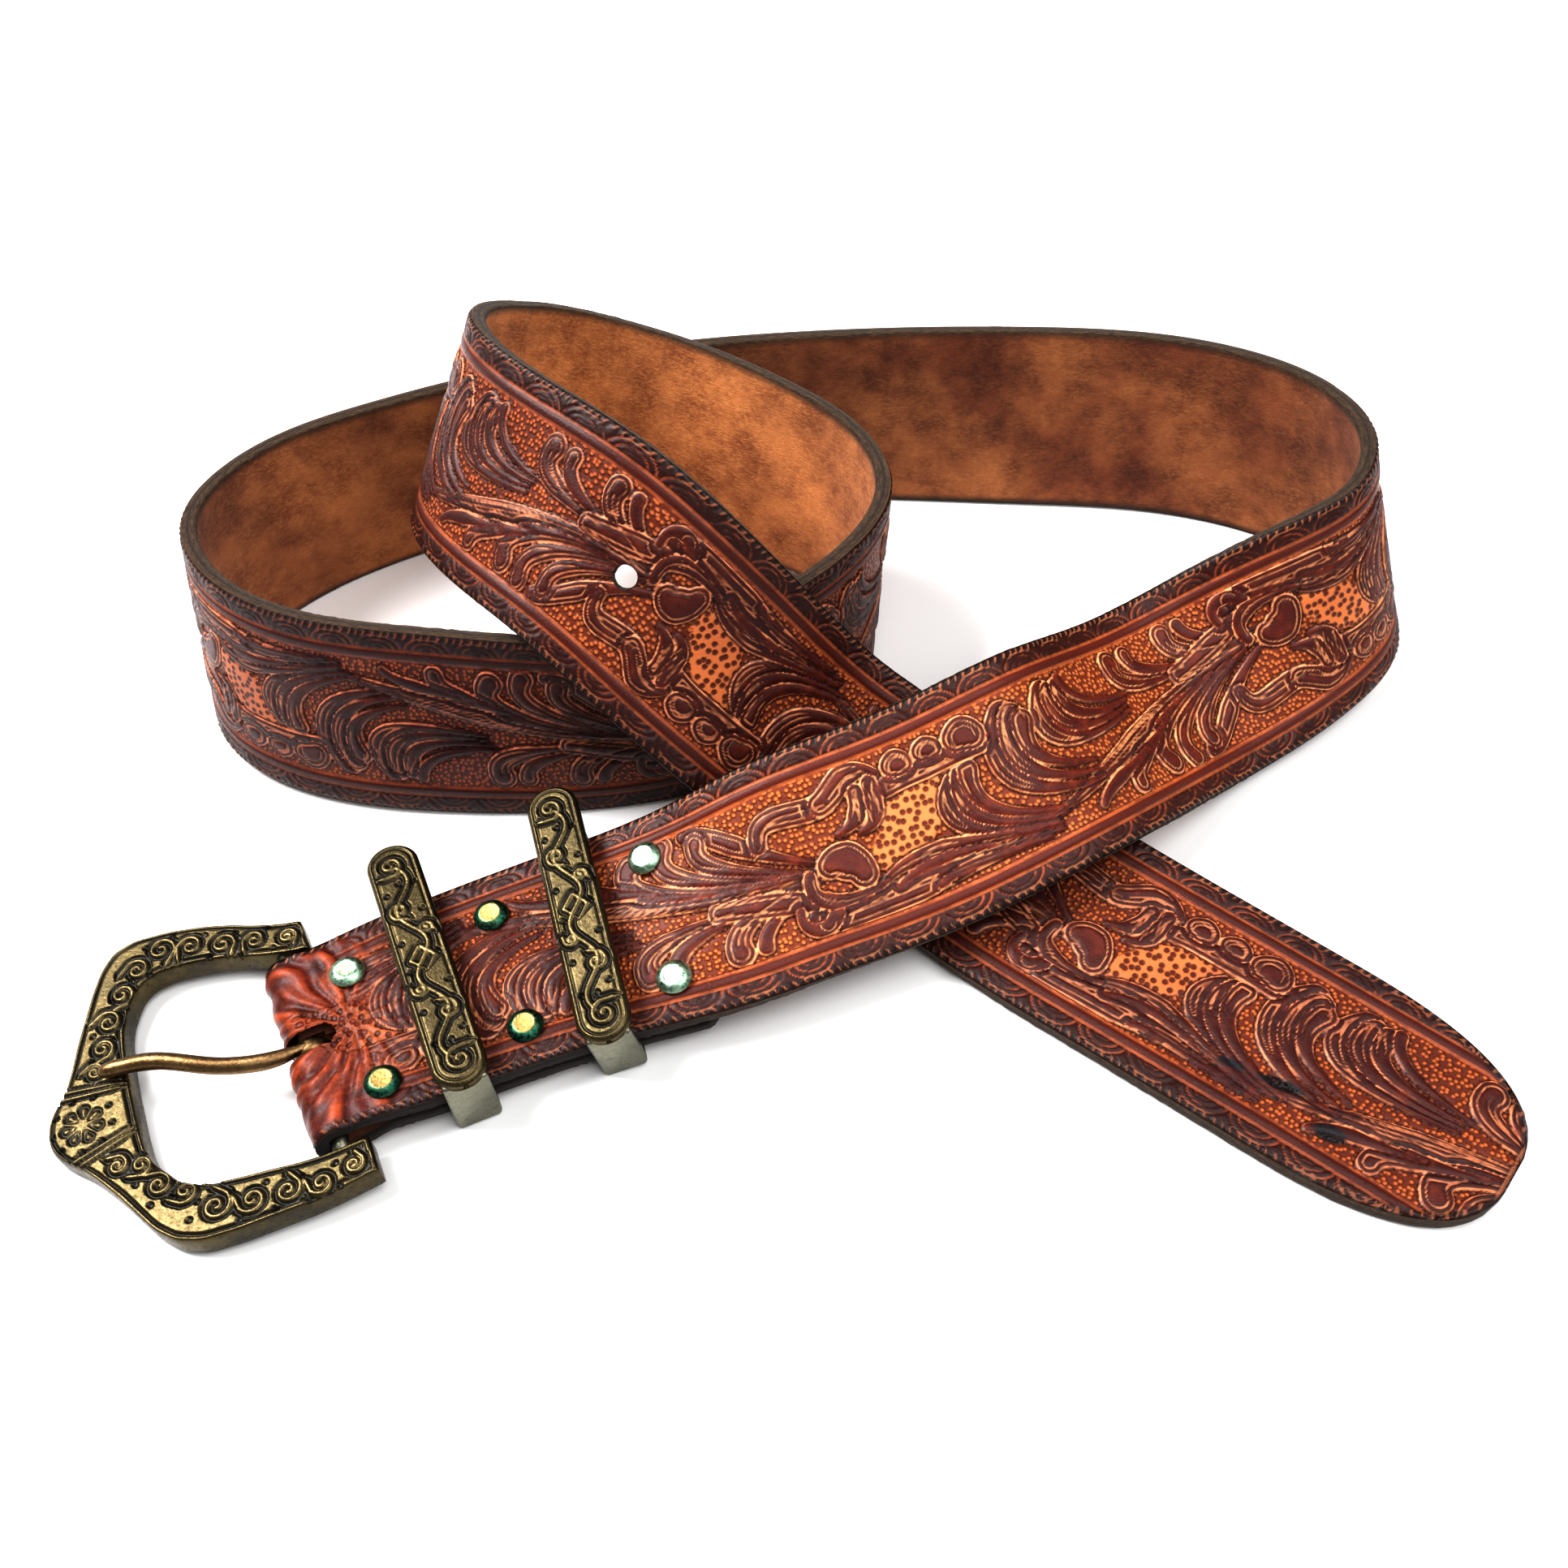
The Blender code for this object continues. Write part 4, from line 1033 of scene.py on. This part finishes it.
# %% Buckle
Rail = namedtuple("Rail", "outer_ahead outer_out inner_ahead inner_out aside")
RAILS = (
    Rail(49, 0, 32.6, 0, 3.7), Rail(48.6, 2.4, 32.6, 2.4, 3.7),
    Rail(47.6, 4.6, 32.6, 4.8, 3.7), Rail(46, 6.6, 32.5, 7.2, 3.8),
    Rail(44.2, 8.8, 32.4, 9.6, 4), Rail(42.6, 11.8, 32.2, 12, 4.8),
    Rail(40.8, 15.8, 31.8, 14.6, 5.8), Rail(38.6, 20.2, 31, 17.1, 6.4),
    Rail(36.4, 25, 29.6, 19.6, 6.8), Rail(33.8, 30, 28, 22.2, 6.8),
    Rail(30.8, 33.4, 25.4, 24, 6.6), Rail(26.6, 35, 21.6, 24.9, 6),
    Rail(20, 35, 17, 25, 5), Rail(13.5, 34.2, 12, 24.8, 3.8),
    Rail(8, 33.2, 7.6, 24.4, 2.4), Rail(3.8, 32, 3.8, 23.8, 1.2),
    Rail(0, 31, 0, 23.2, 0.4), Rail(-2.6, 30.4, -2.6, 22.8, 0),
    Rail(-5.2, 30, -5.2, 22.6, -0.3),
)
FRAME_DEEP = 6.0
FRAME_AXIS = np.array([-93.475, -56.976, 5.195])
AHEAD = np.array([-0.93259, -0.35825, -0.04396])
NEAR = np.array([0.35872, -0.93344, -0.00303])
UP = np.array([-0.03995, -0.0186, 0.99903])
RIM_WIDE = 1.15


def rail_lines():
    """Outer and inner plan lines of the buckle from the near arm to the far arm."""
    table = [(r, 1) for r in reversed(RAILS)] + [(r, -1) for r in RAILS[1:]]
    outer = np.array([(r.outer_ahead, side * r.outer_out - r.aside) for r, side in table])
    inner = np.array([(r.inner_ahead, side * r.inner_out - r.aside) for r, side in table])
    middle = (outer + inner) / 2
    run = np.concatenate([[0], np.cumsum(np.linalg.norm(np.diff(middle, axis=0), axis=1))])
    at = np.linspace(0, run[-1], 520)
    lines = [np.stack([np.interp(at, run, line[:, k]) for k in (0, 1)], 1)
             for line in (outer, inner)]
    soft = 9
    kernel = np.hanning(2 * soft + 1) / np.hanning(2 * soft + 1).sum()
    for line in lines:
        for k in (0, 1):
            padded = np.pad(line[:, k], soft, mode="reflect", reflect_type="odd")
            line[:, k] = np.convolve(padded, kernel, mode="valid")
    return at, lines[0], lines[1]


# Curls on the buckle: ahead, to the near side, size, and the way they wind.
BUCKLE_CURLS = (
    Curl(-1.6, 27.2, 1.9, 200, -1), Curl(4.6, 28, 2.3, 20, 1), Curl(10.4, 26.6, 2.5, 200, -1),
    Curl(16.6, 25.4, 2.6, 20, 1), Curl(22.8, 23.6, 2.9, 210, -1), Curl(27.2, 18.2, 2.4, 60, 1),
    Curl(31.4, 14.8, 2.5, 250, -1), Curl(33.6, 9.4, 2.2, 80, 1), Curl(37.6, 7.6, 2, 250, -1),
    Curl(-2, -27, 1.9, 160, 1), Curl(4.2, -29.2, 2.3, -20, -1),
    Curl(10.2, -31.4, 2.5, 160, 1), Curl(16.2, -34, 2.6, -20, -1),
    Curl(21.8, -36, 2.9, 150, 1), Curl(27, -33.4, 2.5, -60, -1),
    Curl(30.8, -29, 2.5, 110, 1), Curl(34.2, -23.8, 2.6, -70, -1),
    Curl(36.2, -18.4, 2.3, 110, 1), Curl(38.4, -14, 1.9, -70, -1),
)
BUCKLE_PITS = (
    (1.4, 25.6), (1.8, 30.2), (7.6, 25.2), (7.4, 30.4), (13.6, 23.4), (13.4, 29.0), (19.8, 22.4),
    (19.4, 28.2), (25.6, 21.4), (27.6, 24.2), (29.6, 18.4), (33.4, 18.2), (35.2, 13.0),
    (30.6, 11.4), (1.2, -25.6), (1.2, -30.8), (7.2, -27.2), (7.2, -32.8), (13.2, -29.6),
    (13.0, -35.2), (19.0, -32.4), (19.0, -38.2), (24.4, -37.8), (25.0, -31.2), (28.6, -31.6),
    (32.8, -28.6), (31.6, -24.8), (37.4, -22.0), (34.2, -19.6), (38.6, -16.6),
)
KNOB = (42.2, -3.7)


def buckle_relief(x, y, inward):
    """Height of the cast top in mm and how worn it is."""
    curls = [curl_points(c) for c in BUCKLE_CURLS]
    ridge = raised(curls, 0.62, x, y)
    bands = []
    for offset in (-9.6, -7.9, 7.9, 9.6):
        foot = np.array([(32.4, KNOB[1] + offset * 0.55), (49.5, KNOB[1] + offset)])
        bands.append(np.linspace(foot[0], foot[1], 6))
    star = [np.array([(KNOB[0] + r * math.cos(a), KNOB[1] + r * math.sin(a)) for r in (1.6, 3.0)])
            for a in np.linspace(0, 2 * math.pi, 8)[:-1]]
    ridge = np.maximum(ridge, 0.9 * raised(bands, 0.5, x, y))
    ridge = np.maximum(ridge, 0.8 * raised(star, 0.8, x, y))
    holes = pits(BUCKLE_PITS, 0.75, x, y)
    ring = np.hypot(x - KNOB[0], y - KNOB[1])
    beads = [(KNOB[0] + 5.6 * math.cos(a), KNOB[1] + 5.6 * math.sin(a))
             for a in np.linspace(0, 2 * math.pi, 10)[:-1]]
    holes = np.maximum(holes, pits(beads, 0.7, x, y) * (ring < 7)) * (1 - ridge)
    halo = np.maximum(raised(curls, 1.25, x, y), raised(bands, 0.95, x, y))
    halo = np.maximum(halo, 0.8 * raised(star, 1.3, x, y))
    return cast(ridge, halo, groove(inward - RIM_WIDE, 0.28), holes)


def buckle():
    at, outer, inner = rail_lines()
    wide = np.linalg.norm(outer - inner, axis=1)
    top = np.linspace(0, 1, 64)
    half = FRAME_DEEP / 2
    shares = [(0.10, -1.0), (0.03, -0.93), (0.0, -0.78), (0.0, -0.3), (0.0, 0.35), (0.015, 0.62)]
    near_side = shares
    far_side = [(1 - a, b) for a, b in reversed(shares)]
    columns = len(near_side) + len(top) + len(far_side)
    share = np.array([a for a, b in near_side] + list(0.035 + 0.93 * top)
                     + [a for a, b in far_side])
    level = np.array([b for a, b in near_side] + [1.0] * len(top) + [b for a, b in far_side])
    plan = inner[:, None] + (outer - inner)[:, None] * share[None, :, None]
    x, y = plan[..., 0], plan[..., 1]
    inward = np.minimum(share, 1 - share)[None] * wide[:, None]
    from_end = np.minimum(at - at[0], at[-1] - at)[:, None]
    on_top = level[None] == 1.0
    h, high = buckle_relief(x, y, np.minimum(inward, from_end))
    dome = 0.35 * (1 - np.clip(inward / 2.2, 0, 1)) ** 2 * (np.abs(share - 0.5) < 0.49)[None]
    z = level[None] * half + np.where(on_top, h - dome - 0.02, 0)
    end = 1 - np.clip(from_end / 1.0, 0, 1)
    z = z * (1 - 0.12 * end ** 2)
    high = np.where(on_top, high, 0.32 + 0 * h)
    points = FRAME_AXIS + AHEAD * x[..., None] + NEAR * y[..., None] + UP * z[..., None]
    rows = len(at)
    faces = [tuple(f) for f in grid_faces(rows, columns)]
    first = np.arange(columns)
    faces += [(i * columns + columns - 1, (i + 1) * columns + columns - 1, (i + 1) * columns,
               i * columns) for i in range(rows - 1)]
    faces += [tuple(first), tuple(first[::-1] + (rows - 1) * columns)]
    ob = make_object("cast_buckle", points.reshape(-1, 3), faces, BRASS, "buckle",
                     {"high": high.ravel()})
    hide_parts("buckle_frame")
    return ob


def tube(points, radii, sides):
    """Rings of a round wire as points and faces, closed at both ends."""
    ahead = unit(np.gradient(points, axis=0))
    side = unit(np.cross(ahead, UP))
    over = np.cross(side, ahead)
    turn = np.linspace(0, 2 * math.pi, sides, endpoint=False)[None, :, None]
    rings = points[:, None] + (side[:, None] * np.cos(turn) + over[:, None] * np.sin(turn)
                               ) * np.asarray(radii)[:, None, None]
    n = len(points)
    faces = [(i * sides + k, i * sides + (k + 1) % sides, (i + 1) * sides + (k + 1) % sides,
              (i + 1) * sides + k) for i in range(n - 1) for k in range(sides)]
    faces += [tuple(range(sides))[::-1], tuple((n - 1) * sides + k for k in range(sides))]
    return rings.reshape(-1, 3), faces


BAR_FROM, BAR_TO = -26.0, 24.5


def bar():
    points = FRAME_AXIS + NEAR * np.linspace(BAR_FROM, BAR_TO, 12)[:, None]
    rings, faces = tube(points, np.full(12, BAR_RADIUS), 28)
    return make_object("bar", rings, faces, LEG_BRASS, "buckle",
                       {"high": np.full(len(rings), 0.4)})


cast_frame = buckle()
bar()
print("buckle triangles", 2 * len(cast_frame.data.polygons))

# %% [markdown]
# ## Prong
# The prong is one bent wire that is wrapped once round the bar. A tube along a smooth curve
# gives the wire, and a short ring of the same stock is its eye.

# %% Prong
Wire = namedtuple("Wire", "ahead far up radius")
PRONG = (
    Wire(-0.6, 0.3, 2.75, 0.80), Wire(1.6, 0.3, 2.80, 1.00), Wire(4.6, 0.1, 3.05, 1.40),
    Wire(8.5, 0.4, 3.45, 1.65), Wire(13, 1.6, 4.00, 1.65), Wire(17, 3.2, 4.60, 1.65),
    Wire(21, 5.4, 5.30, 1.65), Wire(25, 7.8, 5.70, 1.65), Wire(29, 9.7, 5.50, 1.65),
    Wire(32.5, 10.8, 5.20, 1.55), Wire(35.8, 11.6, 4.85, 1.40), Wire(37.4, 11.9, 4.60, 0.80),
)
RING_RADIUS = 3.6


def prong():
    knots = np.array([w.ahead for w in PRONG])
    at = np.linspace(knots[0], knots[-1], 60)
    far, up, radius = (spline(knots, np.array([getattr(w, k) for w in PRONG]), at)
                       for k in ("far", "up", "radius"))
    radius = np.minimum(radius, 1.66)
    tip = np.clip((knots[-1] - at) / 1.4, 0, 1)
    radius = radius * np.sqrt(np.maximum(1 - (1 - tip) ** 2, 0.04))
    middle = (FRAME_AXIS + AHEAD * at[:, None] - NEAR * far[:, None] + UP * up[:, None])
    wire, wire_faces = tube(middle, radius, 24)
    turn = np.linspace(0, 2 * math.pi, 41)[:-1]
    inner, wide = BAR_RADIUS + GAP, 1.65
    section = [((inner + RING_RADIUS) / 2 + (RING_RADIUS - inner) / 2 * math.cos(a)
                * min(1, 1.25 * abs(math.cos(a)) + 0.75), wide * math.sin(a))
               for a in np.linspace(0, 2 * math.pi, 17)[:-1]]
    ring = [FRAME_AXIS + (AHEAD * math.cos(a) + UP * math.sin(a)) * r + NEAR * (w - 0.3)
            for a in turn for r, w in section]
    n, m, base = len(turn), len(section), len(wire)
    faces = wire_faces + [(base + i * m + j, base + ((i + 1) % n) * m + j,
                           base + ((i + 1) % n) * m + (j + 1) % m, base + i * m + (j + 1) % m)
                          for i in range(n) for j in range(m)]
    points = np.vstack([wire, np.array(ring)])
    ob = make_object("wire_prong", points, faces, WIRE_BRASS, "tongue",
                     {"high": np.full(len(points), 0.62)})
    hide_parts("prong")
    return ob


prong()

# %% [markdown]
# ## Loops
# Each loop is a grey band round the strap with an oval cast plate on top. The plate's relief is
# a wavy scroll from end to end with a curl at each end, a small leaf in the middle, and pits.

# %% Loops
KEEPERS_AT = {"near": 29.9, "far": 60.5}
KEEPER_LONG, KEEPER_SHIFT, KEEPER_INSIDE, KEEPER_LEG = 8.6, 0.3, 46.0, 2.0
KEEPER_RAIL, KEEPER_CLEAR, KEEPER_SLACK = 1.2, 5.0, 0.5
PLATE_LENGTH, PLATE_WIDTH, PLATE_SHIFT, PLATE_THICK = 57.6, 10.2, 3.0, 2.2
LOOP_BEVEL, SHARP_ANGLE = 0.0007, 0.6
PLATE_CURLS = (
    Curl(0.6, -23.4, 2.7, 100, 1), Curl(-0.6, 23.4, 2.5, -80, 1), Curl(1.4, -12.6, 2.1, 60, -1),
    Curl(-1.4, 12.4, 2.1, -120, -1), Curl(-2.2, -6.6, 1.4, 200, 1), Curl(2.2, 6.6, 1.4, 20, 1),
)
PLATE_PITS = ((-2.9, -18.6), (2.9, -17.2), (-3.0, -11.6), (3.2, -6.4), (-3.0, -2.2), (3.0, 0.6),
              (-3.0, 4.6), (2.8, 11.2), (-2.9, 16.6), (2.9, 18.2), (0.2, -19.0), (0.0, 18.6))


def keeper(name, s):
    mid, along, across, face = (a[0] for a in strap_at(s))
    centre = mid + across * KEEPER_SHIFT
    above = STRAP_THICK / 2 + KEEPER_CLEAR
    below = -(STRAP_THICK / 2 + GAP + SKIVED_THICK + KEEPER_SLACK)
    r = PLATE_WIDTH / 2
    straight = PLATE_LENGTH / 2 - r
    y = np.linspace(-1, 1, 300)
    y = np.sign(y) * (1 - (1 - abs(y)) ** 1.15) * (PLATE_LENGTH / 2 - 0.02)
    beyond = np.clip(abs(y) - straight, 0, None)
    half = np.sqrt(np.maximum(r ** 2 - beyond ** 2, 0.0025))
    k = np.concatenate([[-1.0, -1.0], np.linspace(-1, 1, 54), [1.0, 1.0]])
    x = k[None] * half[:, None]
    yy = np.repeat(y[:, None], len(k), 1)
    inward = r - np.hypot(x, np.clip(abs(yy) - straight, 0, None))
    wavy_y = np.linspace(-22.5, 22.5, 60)
    wavy = np.stack([1.9 * np.sin(wavy_y * 2 * math.pi / 15.5), wavy_y], 1)
    leaf = [np.array([(0.0, -2.6), (-2.3, 0.2), (-0.2, 2.8)]), np.array([(0.2, -2.6), (2.4, 0.0),
                                                                     (0.2, 2.8)])]
    lines = [wavy] + [curl_points(c, turns=1.2) for c in PLATE_CURLS] + leaf
    ridge = raised(lines, 0.72, x, yy)
    holes = pits(PLATE_PITS, 0.8, x, yy) * (1 - ridge)
    border = groove(inward - 1.25, 0.26) * 0.55
    h, high = cast(ridge, raised(lines, 1.3, x, yy), border, holes)
    z = PLATE_THICK + h - 0.75 * (1 - np.clip(inward / 1.15, 0, 1)) ** 2.2
    z[:, 0] = z[:, -1] = 0.0
    z[:, 1] = z[:, -2] = PLATE_THICK - 0.9
    for c in (0, 1, -1, -2):
        high[:, c] = 0.4
    points = (centre + along * x[..., None] + across * (yy + PLATE_SHIFT)[..., None]
              + face * (above + z)[..., None])
    n = len(k)
    rows = len(y)
    faces = [tuple(f)[::-1] for f in grid_faces(rows, n)]
    faces += [(i * n, (i + 1) * n, (i + 1) * n + n - 1, i * n + n - 1)[::-1]
              for i in range(rows - 1)]
    plate = make_object(f"loop_plate_{name}", points.reshape(-1, 3), faces, BRASS, "belt",
                        {"high": high.ravel()})
    bm = bmesh.new()
    side = KEEPER_INSIDE / 2
    outer = [(-side - KEEPER_LEG, above + 0.6), (-side - KEEPER_LEG, below - KEEPER_RAIL),
             (side + KEEPER_LEG, below - KEEPER_RAIL), (side + KEEPER_LEG, above + 0.6)]
    inner = [(-side, above + 0.6), (-side, below), (side, below), (side, above + 0.6)]
    for a0, a1, b0, b1 in zip(outer, outer[1:], inner, inner[1:]):
        box = []
        for x_end in (-KEEPER_LONG / 2, KEEPER_LONG / 2):
            box.append([bm.verts.new(Vector((centre + along * x_end + across * p[0]
                                             + face * p[1]) * MM)) for p in (a0, a1, b1, b0)])
        for i in range(4):
            j = (i + 1) % 4
            bm.faces.new((box[0][i], box[0][j], box[1][j], box[1][i]))
        bm.faces.new(box[0][::-1])
        bm.faces.new(box[1])
    bmesh.ops.remove_doubles(bm, verts=bm.verts, dist=1e-6)
    bmesh.ops.recalc_face_normals(bm, faces=bm.faces)
    sharp = [e for e in bm.edges if len(e.link_faces) == 2 and e.calc_face_angle(0) > SHARP_ANGLE]
    bmesh.ops.bevel(bm, geom=sharp, offset=LOOP_BEVEL, segments=3, affect="EDGES", profile=0.5)
    mesh = bpy.data.meshes.new(f"loop_band_{name}")
    bm.to_mesh(mesh)
    bm.free()
    mesh.attributes.new("high", "FLOAT", "POINT").data.foreach_set(
        "value", np.full(len(mesh.vertices), 0.45))
    mesh.polygons.foreach_set("use_smooth", np.full(len(mesh.polygons), True))
    mesh.materials.append(LEG_BRASS)
    band = bpy.data.objects.new(mesh.name, mesh)
    bpy.context.scene.collection.objects.link(band)
    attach(band, "belt")
    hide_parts(f"keeper_{name}")


for keeper_name, keeper_at in KEEPERS_AT.items():
    keeper(keeper_name, keeper_at)
print("loops", list(KEEPERS_AT))

# %% [markdown]
# ## Rivets
# The caps are low brass domes. Sweat and dye have left a green ring round each, darkest on the
# nearest one and on the pair between the loops, while the others stay pale and shiny.

# %% Rivets
RIVET_ROWS = ((15.5, -14.9, 11.3), (44.0, -14.2, 11.9), (75.0, -13.4, 12.7))
DARK_GREEN = (1, 3, 4)
CAP = ((0.0, 1.18), (0.8, 1.19), (1.4, 1.20), (1.75, 1.22), (2.0, 1.24), (2.3, 1.16), (2.7, 0.92),
       (3.05, 0.62), (3.3, 0.34), (3.48, 0.08), (3.4, -0.1), (2.2, -0.12), (1.4, -0.12))


def seat(s, out):
    """The place and directions of a rivet, square to the surface where it sits."""
    step = 0.5
    spots = []
    for ds, dv in ((-step, 0), (step, 0), (0, -step), (0, step)):
        mid, _, across, _ = (a[0] for a in strap_at(s + ds))
        spots.append(mid + across * (out + dv))
    x, y = unit(spots[1] - spots[0]), unit(spots[3] - spots[2])
    z = unit(np.cross(x, y))
    mid, _, across, _ = (a[0] for a in strap_at(s))
    return mid + across * out, x, np.cross(z, x), z


def rivet(number, s, out):
    centre, x, y, z = seat(s, out)
    top = float(thickness(s)) / 2 + 0.45
    widest = float(max(under_layer_gap(s - 3.4), under_layer_gap(s + 3.4)))
    under = -(widest + SKIVED_THICK / 2 + 0.7)
    profile = [(r, top + h) for r, h in CAP] + [(1.4, under), (3.2, under), (3.2, under - 0.7),
                                                (0.0, under - 0.7)]
    sides = 40
    turn = np.linspace(0, 2 * math.pi, sides, endpoint=False)
    points = np.array([centre + (x * math.cos(a) + y * math.sin(a)) * max(r, 0.01) + z * h
                       for r, h in profile for a in turn])
    m = len(profile)
    faces = [(i * sides + k, (i + 1) * sides + k, (i + 1) * sides + (k + 1) % sides,
              i * sides + (k + 1) % sides) for i in range(m - 1) for k in range(sides)]
    faces += [tuple(range(sides)), tuple((m - 1) * sides + k for k in range(sides))[::-1]]
    radius = np.repeat([r for r, _ in profile], sides)
    inner = 1.95 if number in DARK_GREEN else 1.4
    ring = smooth_step(radius, inner - 0.25, inner + 0.25)
    material = GREEN_RIVET if number in DARK_GREEN else PALE_RIVET
    ob = make_object(f"rivet_cap_{number}", points, faces, material, "belt",
                     {"high": np.where(radius < 3.3, 0.55, 0.3), "ring": ring})
    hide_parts(f"rivet_{number}")


rivet_number = 0
for rivet_at, *pair in RIVET_ROWS:
    for rivet_out in pair:
        rivet_number += 1
        rivet(rivet_number, rivet_at, rivet_out)
print("rivets", rivet_number)

# %% [markdown]
# ## Floor, light and camera
# A pale sheet under a large soft light gives the photo's clean ground with faint shadows. The
# camera's lens, height and tilt were worked out from the strap's edges.

# %% Floor
bpy.ops.mesh.primitive_plane_add(size=6.0, location=(0, 0, 0))
floor = bpy.context.object
floor.name = "floor"
paper = Graph("paper")
floor.data.materials.append(paper.finish((0.86, 0.86, 0.86), 0.6))

# %% Light
world = bpy.data.worlds.new("studio")
bpy.context.scene.world = world
world.use_nodes = True
world.node_tree.nodes["Background"].inputs["Color"].default_value = (1.0, 1.0, 1.0, 1)
world.node_tree.nodes["Background"].inputs["Strength"].default_value = 0.42


def soft_light(name, size, place, power):
    data = bpy.data.lights.new(name, "AREA")
    data.size = size
    data.energy = power
    lamp = bpy.data.objects.new(name, data)
    lamp.location = place
    lamp.rotation_euler = (-Vector(place)).to_track_quat("-Z", "Y").to_euler()
    bpy.context.scene.collection.objects.link(lamp)


soft_light("window", 0.6, (-0.75, 0.25, 1.05), 30.0)
soft_light("fill", 1.2, (0.55, -0.35, 1.25), 22.0)

# %% Camera
PHOTO_WIDTH = 1932
FOCAL_PIXELS = 1940.3
PITCH, ROLL = 49.77, -4.643
CAMERA_HEIGHT = 260.1
camera = bpy.data.cameras.new("camera")
camera.sensor_width = 36.0
camera.lens = 36.0 * FOCAL_PIXELS / PHOTO_WIDTH
camera.clip_start = 0.01
eye = bpy.data.objects.new("camera", camera)
eye.matrix_world = (Matrix.Translation((-CENTRE_X * MM, -CENTRE_Y * MM, CAMERA_HEIGHT * MM))
                    @ Matrix.Rotation(math.radians(90 - PITCH), 4, "X")
                    @ Matrix.Rotation(math.radians(ROLL), 4, "Z"))
bpy.context.scene.collection.objects.link(eye)
bpy.context.scene.camera = eye
bpy.context.scene.view_settings.view_transform = "Standard"
bpy.context.scene.view_settings.gamma = 0.74
